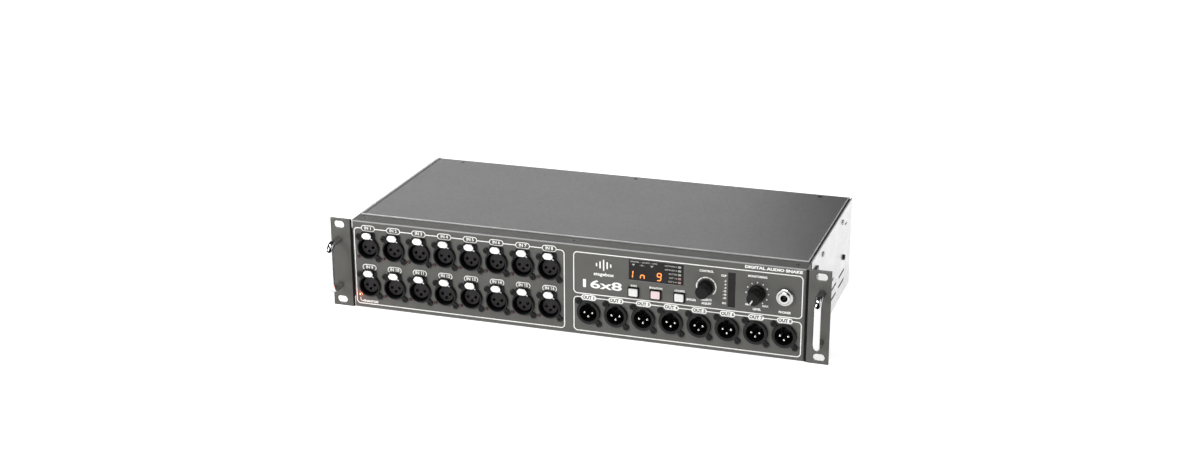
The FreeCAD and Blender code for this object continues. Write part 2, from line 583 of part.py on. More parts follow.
def make_screws():
    """Every screw, as copies of a few forms, by finish: black, small black and plated."""
    up, front, rear = Vector(0, 0, 1), Vector(0, -1, 0), Vector(0, 1, 0)
    sides = {1: Vector(1, 0, 0), -1: Vector(-1, 0, 0)}
    high = "rack_tall / 2"
    flush_screw = make_screw("flush_screw_form", "case_screw_head", "case_screw_cone", "0",
                             "case_screw", "case_screw_long")
    cover = [aimed(x, "top_screw_front", high, up) for x in ("-top_screw_x", "0", "top_screw_x")]
    cover += [aimed(x, "top_screw_rear", high, up) for x in rear_cover_screws()]
    side_bolt = make_screw("side_bolt_form", "side_bolt_head", "0", "side_bolt_tall", "side_bolt",
                           "case_screw_long")
    sides_low = [aimed(f"{side} * case_wide / 2", "side_bolt_y", "side_bolt_z", sides[side])
                 for side in sides]
    copies("case_screws", (flush_screw, cover), (side_bolt, sides_low))

    pan_screw = make_screw("pan_screw_form", "cap_screw_head", "0", "cap_screw_tall", "cap_screw",
                           "cap_screw_long")
    flanges = []
    for start_x, start_z, pitch, rise, rows in (("in_x", "in_z", "in_pitch", "in_rise", 2),
                                                ("out_x", "out_z", "out_pitch", "0", 1)):
        for row in range(rows):
            for column in range(8):
                for hand in (-1, 1):
                    x = f"{start_x} + {column} * {pitch} + {hand} * lug_x"
                    z = f"{start_z} - {row} * {rise} - {hand} * lug_z"
                    flanges.append(aimed(x, "face - flange_proud + lug_sink_deep", z, front))
    copies("connector_screws", (pan_screw, flanges))

    wall_screw = make_screw("wall_screw_form", "wall_screw_head", "0", "cap_screw_tall",
                            "cap_screw", "cap_screw_long")
    walls = [aimed(f"{side} * case_wide / 2", y, "side_screw_z", sides[side])
             for side in sides for y in ("side_screw_front", "side_screw_rear")]
    walls += [aimed(f"{side} * rear_screw_x", "case_back", f"{row} * rear_screw_z", rear)
              for side in sides for row in (-1, 1)]
    bolt = make_screw("bolt_form", "bolt_head", "0", "bolt_head_tall", "bolt", "bolt_long")
    ears = [aimed(f"{side} * (case_wide / 2 + ear_thick)", "ear_bolt_y", f"{row} * ear_bolt_z",
                  sides[side]) for side in sides for row in (-1, 0, 1)]
    grip_screw = make_screw("grip_screw_form", "grip_hole + grip_sink - 0.1", "grip_sink - 0.1",
                            "0", "grip_thread", "grip_screw_long")
    feet = [aimed(f"{side} * grip_x", "-0.05", f"{row} * grip_z", rear)
            for side in sides for row in (-1, 1)]
    copies("plated_screws", (wall_screw, walls), (bolt, ears), (grip_screw, feet))


# ---------------------------------------------------------------- connectors


def socket_flange(body, ring, barrel):
    """Round flange with two sunk screw lugs on the panel face, and a barrel behind it."""
    reach = "sqrt(lug_x ^ 2 + lug_z ^ 2)"
    across, up = f"lug_web * lug_z / {reach}", f"lug_web * lug_x / {reach}"
    lugs = (("-lug_x", "lug_z"), ("lug_x", "-lug_z"))
    front = "face - flange_proud"
    pad(body, "flange", "XZ_Plane", [("circle", "0", "0", ring)], front, "face")
    pad(body, "lug_web", "XZ_Plane", [("polygon", [
        (f"-lug_x - {across}", f"lug_z - {up}"), (f"lug_x - {across}", f"-lug_z - {up}"),
        (f"lug_x + {across}", f"-lug_z + {up}"), (f"-lug_x + {across}", f"lug_z + {up}")])],
        front, "face")
    pad(body, "lugs", "XZ_Plane", [("circle", x, z, "lug") for x, z in lugs], front, "face")
    pad(body, "barrel", "XZ_Plane", [("circle", "0", "0", barrel)], "face", "socket_back")
    pocket(body, "lug_sinks", "XZ_Plane", [("circle", x, z, "lug_sink") for x, z in lugs],
           front, f"{front} + lug_sink_deep")
    pocket(body, "lug_holes", "XZ_Plane", [("circle", x, z, "lug_hole") for x, z in lugs],
           f"{front} + lug_sink_deep", "face")


def pin_places():
    """The three contacts of an XLR connector about its axis."""
    return [("-pin_spread", "0"), ("pin_spread", "0"), ("0", "-pin_spread")]


def fill_input_rows(body):
    repeat(body, "columns", "X_Axis", "in_pitch", 8)
    repeat(body, "rows", "Z_Axis", "in_rise", 2, backwards=True)


def make_input_shells():
    """Female shells: collar, latch housing above it and an open channel for the latch."""
    body = new_body("input_shells", ("in_x", "0", "in_z"))
    socket_flange(body, "in_flange", "in_barrel")
    collar_front = "face - collar_proud"
    pad(body, "collar", "XZ_Plane", [("circle", "0", "0", "collar")], collar_front,
        "face - flange_proud")
    pad(body, "lobe", "XZ_Plane", [
        ("box", "-lobe_half", "lobe_top / 2", "lobe_half", "lobe_top")],
        "face - lobe_proud", "face")
    fillet(body, "lobe_corners", "lobe_half / 3", lambda edge: lies_at(edge, "z", "lobe_top")
           and abs(points_of(edge)[0].x - points_of(edge)[-1].x) < 1e-4)
    pocket(body, "bore", "XZ_Plane", [("circle", "0", "0", "in_bore")], collar_front, "in_floor")
    pocket(body, "floor_hole", "XZ_Plane", [("circle", "0", "0", "spigot + spigot_room")],
           "in_floor", "socket_back")
    fillet(body, "collar_edge", "0.5", lambda edge: lies_at(edge, "y", collar_front)
           and is_round(edge, "collar"))
    pocket(body, "channel", "XZ_Plane", [
        ("box", "-channel_half", "channel_low", "channel_half", "channel_top")],
        collar_front, "channel_end")
    pocket(body, "tab_room", "XZ_Plane", [
        ("box", "-tab_half", "tab_low - tab_room", "tab_half", "collar + 1")],
        collar_front, "face - lobe_proud")
    fill_input_rows(body)


def make_input_inserts():
    """Round inserts with three contact holes, each held by a spigot in the shell's floor."""
    body = new_body("input_inserts", ("in_x", "0", "in_z"))
    pad(body, "drum", "XZ_Plane", [("circle", "0", "0", "insert")], "insert_front", "in_floor")
    pad(body, "tenon", "XZ_Plane", [("circle", "0", "0", "spigot")], "in_floor", "socket_back")
    fillet(body, "drum_edge", "0.5", lambda edge: lies_at(edge, "y", "insert_front"))
    pocket(body, "contact_holes", "XZ_Plane", [
        ("circle", x, z, "insert_hole") for x, z in pin_places()], "insert_front", "socket_back")
    fill_input_rows(body)


def make_input_contacts():
    """Contact sleeves in the inserts, with tails through the connector board."""
    body = new_body("input_contacts", ("in_x", "0", "in_z"))
    front = "insert_front + contact_sunk"
    pad(body, "sleeves", "XZ_Plane", [("circle", x, z, "contact") for x, z in pin_places()],
        front, "socket_back")
    pad(body, "tails", "XZ_Plane", [("circle", x, z, "tail") for x, z in pin_places()],
        "socket_back", "tail_end")
    pocket(body, "sleeve_bores", "XZ_Plane", [
        ("circle", x, z, "contact_bore") for x, z in pin_places()], front, "contact_deep")
    fill_input_rows(body)


def make_input_latch(number, column, row):
    """Push tab with a stem through the shell's channel and a hook that holds a plug."""
    body = new_body(f"input_latch_{number:02d}",
                    (f"in_x + {column} * in_pitch", "0", f"in_z - {row} * in_rise"))
    front = "face - tab_proud"
    middle = "(tab_low + tab_high) / 2"
    pad(body, "tab", "XZ_Plane", [("polygon", [
        ("tab_half", middle), ("tab_flat", "tab_high"), ("-tab_flat", "tab_high"),
        ("-tab_half", middle), ("-tab_flat", "tab_low"), ("tab_flat", "tab_low")])],
        front, f"{front} + tab_thick")
    fillet(body, "tab_corners", "tab_corner", lambda edge: abs(
        points_of(edge)[0].y - points_of(edge)[-1].y) > 1e-4)
    fillet(body, "tab_edge", "0.35", lambda edge: lies_at(edge, "y", front))
    pad(body, "stem", "XZ_Plane", [("box", "-stem_half", "stem_low", "stem_half", "stem_high")],
        f"{front} + tab_thick", "stem_end")
    pad(body, "hook", "XZ_Plane", [("box", "-hook_half", "hook_low", "hook_half", "stem_low")],
        "hook_start", "hook_end")


def make_output_shells():
    """Male shells: rounded ring, open cavity with a key slot and a solid floor for the pins."""
    body = new_body("output_shells", ("out_x", "0", "out_z"))
    socket_flange(body, "out_flange", "out_barrel")
    front = "face - ring_proud"
    pad(body, "ring", "XZ_Plane", [("circle", "0", "0", "out_flange")], front,
        "face - flange_proud")
    fillet(body, "ring_edge", "0.9", lambda edge: lies_at(edge, "y", front))
    pocket(body, "cavity", "XZ_Plane", [("circle", "0", "0", "out_bore")], front, "out_floor")
    pocket(body, "key_slot", "XZ_Plane", [
        ("box", "-key_half", "key_low", "key_half", "key_top")], front, "key_end")
    pocket(body, "pin_holes", "XZ_Plane", [
        ("circle", x, z, "pin + pin_room") for x, z in pin_places()], "out_floor", "socket_back")
    repeat(body, "row", "X_Axis", "out_pitch", 8)


def make_output_pins():
    body = new_body("output_pins", ("out_x", "0", "out_z"))
    pad(body, "pins", "XZ_Plane", [("circle", x, z, "pin") for x, z in pin_places()],
        "pin_tip", "socket_back")
    pad(body, "tails", "XZ_Plane", [("circle", x, z, "tail") for x, z in pin_places()],
        "socket_back", "tail_end")
    fillet(body, "tips", "pin * 0.8", lambda edge: lies_at(edge, "y", "pin_tip"))
    repeat(body, "row", "X_Axis", "out_pitch", 8)


def make_phantom_leds():
    """Clear rods that bring the lamps' light from the connector board to the panel."""
    body = new_body("phantom_leds", ("in_x + lamp_x", "0", "in_z + lamp_z"))
    front = "face - lamp_proud"
    pad(body, "rod", "XZ_Plane", [("circle", "0", "0", "lamp")], front, "socket_back")
    fillet(body, "dome", "lamp_proud", lambda edge: lies_at(edge, "y", front))
    fill_input_rows(body)


# ---------------------------------------------------------------- control field


def make_window(label, name):
    """Dark window set in the panel, with a rim behind it."""
    body = new_body(label)
    left, low = f"{name}_left", f"{name}_low"
    right, high = f"{name}_right", f"{name}_high"
    room, rim = "window_room", "window_rim"
    pad(body, "pane", "XZ_Plane", [
        ("box", f"{left} + {room}", f"{low} + {room}", f"{right} - {room}", f"{high} - {room}")],
        "face + window_set", "face + sheet")
    pad(body, "rim", "XZ_Plane", [
        ("box", f"{left} - {rim}", f"{low} - {rim}", f"{right} + {rim}", f"{high} + {rim}")],
        "face + sheet", "face + sheet + window_step")


def make_module(label, name):
    """Lamp block between a window and the control board."""
    body = new_body(label)
    pad(body, "block", "XZ_Plane", [
        ("box", f"{name}_left", f"{name}_low", f"{name}_right", f"{name}_high")],
        "face + sheet + window_step + module_gap", "card_front")


def make_button(label, x):
    """Translucent cap with a retaining skirt behind the panel and a stem to its switch."""
    body = new_body(label, (x, "0", "button_z"))
    front = "face - cap_proud"
    pad(body, "cap", "XZ_Plane", [
        ("box", "-cap_half_x", "-cap_half_z", "cap_half_x", "cap_half_z")], front, "cap_back")
    fillet(body, "cap_corners", "cap_round", lambda edge: abs(
        points_of(edge)[0].y - points_of(edge)[-1].y) > 1e-4)
    fillet(body, "cap_edge", "cap_round / 2", lambda edge: lies_at(edge, "y", front))
    pad(body, "skirt", "XZ_Plane", [
        ("box", "-skirt_half_x", "-skirt_half_z", "skirt_half_x", "skirt_half_z")],
        "cap_back", "cap_back + cap_skirt")
    pad(body, "stem", "XZ_Plane", [("circle", "0", "0", "stem")], "cap_back + cap_skirt",
        "stem_tip")


def make_button_switches():
    """Tactile switches on the control board, each with a round well for a button's stem."""
    body = new_body("button_switches", ("0", "0", "button_z"))
    columns = ("gain_x", "phantom_x", "config_x")
    pad(body, "cases", "XZ_Plane", [
        ("box", f"{x} - switch_half", "-switch_half", f"{x} + switch_half", "switch_half")
        for x in columns], "switch_front", "card_front")
    pocket(body, "wells", "XZ_Plane", [("circle", x, "0", "well") for x in columns],
           "switch_front", "well_floor")


def cut_flat(body, name, start, end):
    """Cuts a shaft's flat on its upper side."""
    pocket(body, name, "XZ_Plane", [("box", "-shaft - 1", "shaft_flat", "shaft + 1", "shaft + 1")],
           start, end)


def make_control_housing(label, place):
    """Housing on the control board with a threaded bush through the panel and a round well."""
    body = new_body(label, place)
    pad(body, "block", "XZ_Plane", [
        ("box", "-block_half", "-block_half", "block_half", "block_half")],
        "block_front", "card_front")
    pad(body, "bush", "XZ_Plane", [("circle", "0", "0", "bush")], "bush_tip", "block_front")
    pocket(body, "shaft_bore", "XZ_Plane", [("circle", "0", "0", "shaft + shaft_room")],
           "bush_tip", "rotor_front")
    pocket(body, "well", "XZ_Plane", [("circle", "0", "0", "rotor + rotor_room")],
           "rotor_front - 0.1", "well_back")
    return body


def make_encoder():
    place = ("encoder_x", "0", "encoder_z")
    make_control_housing("encoder_housing", place)
    rotor = new_body("encoder_rotor", place)
    pad(rotor, "disc", "XZ_Plane", [("circle", "0", "0", "rotor")], "rotor_front", "rotor_back")
    pocket(rotor, "hole", "XZ_Plane", [("circle", "0", "0", "shaft + shaft_room")],
           "rotor_front", "rotor_back")
    pad(rotor, "key", "XZ_Plane", [
        ("box", "-shaft / 2", "shaft_flat + shaft_room", "shaft / 2", "shaft + shaft_room * 3")],
        "rotor_front", "rotor_back")
    spindle = new_body("encoder_shaft", place)
    pad(spindle, "rod", "XZ_Plane", [("circle", "0", "0", "shaft")], "shaft_tip", "shaft_end - 0.5")
    cut_flat(spindle, "rear_flat", "rotor_front - 0.6", "shaft_end")
    cut_flat(spindle, "front_flat", "shaft_tip", "bush_tip - 1")
    make_knob("encoder_knob", place, "knob_skirt")


def make_level_control():
    place = ("level_x", "0", "level_z")
    make_control_housing("level_pot_housing", place)
    spindle = new_body("level_shaft", place)
    pad(spindle, "rod", "XZ_Plane", [("circle", "0", "0", "shaft")], "shaft_tip", "rotor_front")
    pad(spindle, "wiper", "XZ_Plane", [("circle", "0", "0", "rotor")], "rotor_front", "rotor_back")
    cut_flat(spindle, "front_flat", "shaft_tip", "bush_tip - 1")
    make_knob("level_knob", place, "level_skirt")


def make_knob(label, place, skirt):
    """Round knob on the shaft's front end, hollow behind to clear the panel nut."""
    body = new_body(label, place)
    pad(body, "skirt", "XZ_Plane", [("circle", "0", "0", skirt)], "knob_skirt_end", "knob_back")
    pad(body, "grip", "XZ_Plane", [("circle", "0", "0", "knob_grip")], "knob_tip",
        "knob_skirt_end")
    chamfer(body, "bevel", "knob_bevel", lambda edge: lies_at(edge, "y", "knob_tip"))
    pocket(body, "cup", "XZ_Plane", [("circle", "0", "0", "knob_cup")], "knob_cup_end",
           "knob_back")
    pocket(body, "bore", "XZ_Plane", [("circle", "0", "0", "shaft")], "shaft_tip",
           "knob_cup_end")
    pad(body, "flat_key", "XZ_Plane", [
        ("box", "-shaft * 0.85", "shaft_flat", "shaft * 0.85", "shaft + 0.5")],
        "shaft_tip", "bush_tip - 1")


def hexagon(x, z, half):
    """Corner places of a hexagon whose flats are a half-width from its centre, points up."""
    side = f"({half} / sqrt(3))"
    return ("polygon", [
        (f"{x} + {half}", f"{z} + {side}"), (x, f"{z} + 2 * {side}"),
        (f"{x} - {half}", f"{z} + {side}"), (f"{x} - {half}", f"{z} - {side}"),
        (x, f"{z} - 2 * {side}"), (f"{x} + {half}", f"{z} - {side}")])


def make_control_nuts():
    """Hexagon nuts of the two controls and the round nut of the headphone socket."""
    body = new_body("control_nuts")
    hexes = (("encoder_x", "encoder_z"), ("level_x", "level_z"))
    pad(body, "hexes", "XZ_Plane", [hexagon(x, z, "nut_half") for x, z in hexes],
        "face - nut_thick", "face")
    pad(body, "ring", "XZ_Plane", [("circle", "phones_x", "phones_z", "ring_nut")],
        "face - ring_nut_thick", "face")
    chamfer(body, "ring_bevel", "ring_nut_bevel", lambda edge: is_round(edge, "ring_nut")
            and lies_at(edge, "y", "face - ring_nut_thick"))
    pocket(body, "bores", "XZ_Plane", [("circle", x, z, "bush") for x, z in hexes]
           + [("circle", "phones_x", "phones_z", "phones_bush")], "face - ring_nut_thick - 1",
           "face")


def make_phones_jack():
    """Quarter-inch socket: a threaded bush through the panel on a moulded body."""
    body = new_body("phones_jack", ("phones_x", "0", "phones_z"))
    pad(body, "case", "XZ_Plane", [
        ("box", "-phones_half", "-phones_half", "phones_half", "phones_half")],
        "face + sheet", "phones_back")
    pad(body, "bush", "XZ_Plane", [("circle", "0", "0", "phones_bush")], "phones_tip",
        "face + sheet")
    chamfer(body, "lead_in", "0.5", lambda edge: lies_at(edge, "y", "phones_tip"))
    pocket(body, "bore", "XZ_Plane", [("circle", "0", "0", "phones_bore")], "phones_tip",
           "phones_deep")


# ---------------------------------------------------------------- boards


def make_connector_board():
    """Upright board behind the connectors, with a step below the control field."""
    body = new_body("connector_board")
    half, low, high = "wide_card_half", "wide_card_low", "wide_card_high"
    pad(body, "card", "XZ_Plane", [("polygon", [
        (f"-{half}", low), (half, low), (half, "wide_card_step"),
        ("wide_card_split", "wide_card_step"), ("wide_card_split", high), (f"-{half}", high)])],
        "socket_back", "socket_back + board")
    holes = pocket(body, "input_tails", "XZ_Plane", [
        ("circle", f"in_x + {x}", f"in_z - {row} * in_rise + {z}", "tail + pin_room")
        for x, z in pin_places() for row in (0, 1)], "socket_back", "socket_back + board")
    repeat(body, "input_columns", "X_Axis", "in_pitch", 8, features=[holes])
    holes = pocket(body, "output_tails", "XZ_Plane", [
        ("circle", f"out_x + {x}", f"out_z + {z}", "tail + pin_room")
        for x, z in pin_places()], "socket_back", "socket_back + board")
    repeat(body, "output_columns", "X_Axis", "out_pitch", 8, features=[holes])


def make_control_board():
    body = new_body("control_board")
    pad(body, "card", "XZ_Plane", [
        ("box", "card_left", "card_low", "card_right", "card_high")],
        "card_front", "card_front + board")
    pad(body, "chips", "XZ_Plane", [
        ("box", f"{x} - 7", "button_z + 8", f"{x} + 7", "button_z + 22")
        for x in ("gain_x + 6", "config_x + 8", "level_x - 8")],
        "card_front + board", "card_front + 2 * board")


def make_main_board():
    """Main board on four bosses, with its larger parts as blocks."""
    body = new_body("main_board")
    low = "-rack_tall / 2 + sheet + floor_boss"
    pad(body, "card", "XY_Plane", [
        ("box", "main_left", "main_front", "main_right", "main_back")], low, f"{low} + board")
    pad(body, "chips", "XY_Plane", [
        ("box", "-60", "90", "-40", "110"), ("box", "-20", "90", "8", "118"),
        ("box", "40", "100", "60", "120"), ("box", "90", "90", "104", "104"),
        ("box", "130", "110", "158", "138")], f"{low} + board", f"{low} + board + 2.4")
    pad(body, "headers", "XY_Plane", [
        ("box", "-80", "64", "-30", "70"), ("box", "20", "64", "70", "70"),
        ("box", "120", "64", "150", "70")], f"{low} + board", f"{low} + board + 9")
    pad(body, "cans", "XY_Plane", [
        ("circle", f"-80 + {number} * 12", "150", "4") for number in range(6)],
        f"{low} + board", f"{low} + board + 11")


def make_power_supply():
    """Power supply board with its transformer, reservoir cans and heat sink."""
    body = new_body("power_supply")
    low = "-rack_tall / 2 + sheet + floor_boss"
    pad(body, "card", "XY_Plane", [
        ("box", "supply_left", "supply_front", "supply_right", "supply_back")],
        low, f"{low} + board")
    pad(body, "transformer", "XY_Plane", [("box", "-180", "105", "-148", "135")],
        f"{low} + board", f"{low} + board + 26")
    pad(body, "reservoirs", "XY_Plane", [
        ("circle", "-130", "100", "9"), ("circle", "-130", "122", "9")],
        f"{low} + board", f"{low} + board + 30")
    pad(body, "heat_sink", "XY_Plane", [("box", "-150", "148", "-118", "152")],
        f"{low} + board", f"{low} + board + 28")


# ---------------------------------------------------------------- rear sockets


def make_power_inlet():
    """Mains inlet and switch frame in one moulding, clipped into the rear panel."""
    body = new_body("power_inlet", ("inlet_x", "0", "inlet_z"))
    bezel_end = "case_back + inlet_bezel"
    pad(body, "case", "XZ_Plane", [
        ("box", "-inlet_body_x", "-inlet_body_z", "inlet_body_x", "inlet_body_z")],
        "inlet_front", "case_back")
    pad(body, "bezel", "XZ_Plane", [
        ("box", "-inlet_half_x", "-inlet_half_z", "inlet_half_x", "inlet_half_z")],
        "case_back", bezel_end)
    fillet(body, "bezel_edge", "1", lambda edge: lies_at(edge, "y", bezel_end))
    left, right = "mains_x - mains_half_x", "mains_x + mains_half_x"
    pocket(body, "mains_cavity", "XZ_Plane", [("polygon", [
        (left, "-mains_half_z"), (right, "-mains_half_z"),
        (right, "mains_half_z - mains_corner"), (f"{right} - mains_corner", "mains_half_z"),
        (f"{left} + mains_corner", "mains_half_z"), (left, "mains_half_z - mains_corner")])],
        "mains_floor", bezel_end)
    pocket(body, "blade_slots", "XZ_Plane", blade_loops(), "inlet_front", "mains_floor")
    wide = "rocker_half + rocker_room"
    pocket(body, "switch_well", "XZ_Plane", [
        ("box", f"rocker_x - ({wide})", "-rocker_slot", f"rocker_x + {wide}", "rocker_slot")],
        "rocker_floor", bezel_end)
    pocket(body, "pivot_holes", "YZ_Plane", [
        ("circle", "rocker_axis", "0", "rocker_pin + rocker_pin_room")],
        "rocker_x - rocker_pin_end - 0.3", "rocker_x + rocker_pin_end + 0.3")


def blade_loops():
    places = (("-blade_spread", "-blade_drop"), ("blade_spread", "-blade_drop"),
              ("0", "blade_drop"))
    return [("box", f"mains_x + {x} - blade_wide", f"{z} - blade_tall",
             f"mains_x + {x} + blade_wide", f"{z} + blade_tall") for x, z in places]


def make_power_pins():
    body = new_body("power_pins", ("inlet_x", "0", "inlet_z"))
    pad(body, "blades", "XZ_Plane", blade_loops(), "blade_root", "blade_tip")
    chamfer(body, "tips", "0.4", lambda edge: lies_at(edge, "y", "blade_tip"))


def make_power_rocker():
    """Rocker at its off stop; its two pins turn in the inlet's frame."""
    body = new_body("power_rocker", ("inlet_x + rocker_x", "rocker_axis", "inlet_z"))
    pad(body, "paddle", "YZ_Plane", [("polygon", [
        ("3.3", "-8.6"), ("2.2", "0"), ("3.3", "8.6"), ("-1.2", "8.2"), ("-4.6", "2.4"),
        ("-4.6", "-2.4"), ("-1.2", "-8.2")])], "-rocker_half", "rocker_half")
    pad(body, "pins", "YZ_Plane", [("circle", "0", "0", "rocker_pin")], "-rocker_pin_end",
        "rocker_pin_end")
    body.Placement = Placement(body.Placement.Base, Rotation(Vector(1, 0, 0), size("rocker_tilt")))


def make_network_sockets():
    """Three network sockets on the main board's rear edge, open to the rear."""
    body = new_body("network_sockets", (
        "net_x", "0", "-rack_tall / 2 + sheet + floor_boss + board"))
    rear = "case_back + rear_proud"
    pad(body, "case", "XZ_Plane", [("box", "-net_half", "0", "net_half", "net_tall")],
        "net_front", rear)
    pocket(body, "port", "XZ_Plane", [
        ("box", "-net_port", "net_port_low", "net_port", "net_port_high")], "net_floor", rear)
    pocket(body, "key_step", "XZ_Plane", [
        ("box", "-net_key * 2", "net_port_high - 0.5", "net_key * 2", "net_port_high + net_key / 2"),
    ], "net_floor", rear)
    pocket(body, "key", "XZ_Plane", [
        ("box", "-net_key", "net_port_high - 0.5", "net_key", "net_key_top")], "net_floor", rear)
    repeat(body, "row", "X_Axis", "net_pitch", 3)


def make_midi_sockets():
    """Two five-hole round sockets, each with a ring groove for the plug's shield."""
    body = new_body("midi_sockets", (
        "midi_x", "0", "-rack_tall / 2 + sheet + floor_boss + board"))
    rear = "case_back + rear_proud"
    pad(body, "case", "XZ_Plane", [("box", "-midi_half", "0", "midi_half", "midi_tall")],
        "midi_front", "case_back - sheet")
    pad(body, "neck", "XZ_Plane", [("circle", "0", "midi_rise", "midi_half - 1.1")],
        "case_back - sheet", rear)
    pocket(body, "groove", "XZ_Plane", [
        ("circle", "0", "midi_rise", "midi_groove"), ("circle", "0", "midi_rise", "midi_disc")],
        f"{rear} - midi_deep", rear)
    holes = []
    for number in range(5):
        turn = math.radians(180 + 45 * number)
        holes.append(("circle", f"midi_circle * {math.cos(turn):.6f}",
                      f"midi_rise + midi_circle * {math.sin(turn):.6f}", "midi_hole"))
    pocket(body, "holes", "XZ_Plane", holes, f"{rear} - midi_deep", rear)
    repeat(body, "row", "X_Axis", "midi_pitch", 2)


def make_usb_socket():
    body = new_body("usb_socket", ("usb_x", "0", "-rack_tall / 2 + sheet + floor_boss + board"))
    rear = "case_back + rear_proud"
    pad(body, "case", "XZ_Plane", [("box", "-usb_half", "0", "usb_half", "usb_tall")],
        "usb_front", rear)
    pocket(body, "port", "XZ_Plane", [
        ("box", "-usb_port", "usb_port_low", "usb_port", "usb_port_high")], "usb_floor", rear)
    pad(body, "tongue", "XZ_Plane", [
        ("box", "-usb_tongue", "usb_tongue_low", "usb_tongue", "usb_tongue_high")],
        "usb_floor", f"{rear} - 1")


# ---------------------------------------------------------------- assembly


def check_document():
    """Stops if any object failed, a cut removed nothing or a node's shape is unsound."""
    for item in doc.Objects:
        if "Invalid" in item.State or "Error" in item.State:
            raise RuntimeError(f"{item.Label} is {item.State}")
        if item.TypeId in ("PartDesign::Pocket", "PartDesign::Groove"):
            if item.BaseFeature.Shape.Volume - item.Shape.Volume < 1e-3:
                owner = item.getParentGeoFeatureGroup()
                raise RuntimeError(f"{item.Label} in {owner.Label} cuts nothing")
    for item in nodes:
        if item.Shape.isNull() or not item.Shape.isValid():
            raise RuntimeError(f"{item.Label} has no sound shape")


make_chassis_tray()
make_rear_panel()
make_front_panel()
make_top_cover()
make_ear("rack_ear_left", -1)
make_ear("rack_ear_right", 1)
make_handle("handle_left", -1)
make_handle("handle_right", 1)
make_screws()
make_input_shells()
make_input_inserts()
make_input_contacts()
for latch_number in range(16):
    make_input_latch(latch_number + 1, latch_number % 8, latch_number // 8)
make_output_shells()
make_output_pins()
make_phantom_leds()
make_window("display_window", "window")
make_module("display_module", "window")
make_window("meter_window", "meter")
make_module("meter_module", "meter")
make_button("gain_button", "gain_x")
make_button("phantom_button", "phantom_x")
make_button("config_button", "config_x")
make_button_switches()
make_encoder()
make_level_control()
make_control_nuts()
make_phones_jack()
make_connector_board()
make_control_board()
make_main_board()
make_power_supply()
make_power_inlet()
make_power_pins()
make_power_rocker()
make_network_sockets()
make_midi_sockets()
make_usb_socket()
doc.recompute()
check_document()

os.makedirs("parts", exist_ok=True)
for item in nodes:
    item.Shape.exportStep(f"parts/{item.Label}.step")
print(len(nodes), "nodes")
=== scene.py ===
import json
import math

import bmesh
import bpy
from mathutils import Matrix, Quaternion, Vector


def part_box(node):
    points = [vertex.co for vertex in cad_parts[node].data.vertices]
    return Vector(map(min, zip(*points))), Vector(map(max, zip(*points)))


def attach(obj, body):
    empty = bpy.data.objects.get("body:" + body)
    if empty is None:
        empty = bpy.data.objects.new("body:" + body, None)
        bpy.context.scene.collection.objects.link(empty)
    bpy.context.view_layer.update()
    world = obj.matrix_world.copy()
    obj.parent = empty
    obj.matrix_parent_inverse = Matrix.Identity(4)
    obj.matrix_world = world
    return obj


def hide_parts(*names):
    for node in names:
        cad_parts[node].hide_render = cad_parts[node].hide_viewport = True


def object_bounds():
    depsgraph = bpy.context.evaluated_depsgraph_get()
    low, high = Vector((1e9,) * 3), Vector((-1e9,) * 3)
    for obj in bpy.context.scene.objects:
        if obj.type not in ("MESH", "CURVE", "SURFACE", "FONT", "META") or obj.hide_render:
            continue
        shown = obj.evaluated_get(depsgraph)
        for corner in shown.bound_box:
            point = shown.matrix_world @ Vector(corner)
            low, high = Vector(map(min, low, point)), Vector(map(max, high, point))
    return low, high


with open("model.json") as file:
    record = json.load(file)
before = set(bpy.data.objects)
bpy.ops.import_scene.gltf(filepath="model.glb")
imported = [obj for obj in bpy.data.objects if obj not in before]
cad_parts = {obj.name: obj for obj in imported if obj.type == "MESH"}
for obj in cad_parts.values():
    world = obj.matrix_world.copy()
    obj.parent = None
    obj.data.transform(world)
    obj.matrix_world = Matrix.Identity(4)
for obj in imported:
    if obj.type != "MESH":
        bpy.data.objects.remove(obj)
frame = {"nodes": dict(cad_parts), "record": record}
CAD_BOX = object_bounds()
MM = 0.001

# ---------------------------------------------------------------- places read from the frame

PANEL_LOW, PANEL_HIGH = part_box("front_panel")
FACE = PANEL_LOW.y
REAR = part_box("rear_panel")[1].y
COVER_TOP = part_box("top_cover")[1].z
TAB_RISE = 12.35 * MM  # from the axis of an input up to the middle of its latch
LUG_REACH = 12.8 * MM  # from the axis of a line output to the end of its lug
LAMP_DROP = (-10.7 * MM, -9.9 * MM)  # from the axis of an input across and up to its lamp


def middle(node):
    """The middle of a node's box at rest."""
    low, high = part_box(node)
    return (Vector(low) + Vector(high)) / 2


LATCHES = [f"input_latch_{number:02d}" for number in range(1, 17)]
INPUTS = [(middle(node).x, middle(node).z - TAB_RISE) for node in LATCHES]
PER_ROW = 8
OUT_LOW, OUT_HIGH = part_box("output_shells")
OUT_FIRST = OUT_LOW.x + LUG_REACH
OUT_PITCH = (OUT_HIGH.x - OUT_LOW.x - 2 * LUG_REACH) / (PER_ROW - 1)
OUT_Z = (OUT_LOW.z + OUT_HIGH.z) / 2
OUTPUTS = [(OUT_FIRST + number * OUT_PITCH, OUT_Z) for number in range(PER_ROW)]


# ---------------------------------------------------------------- materials


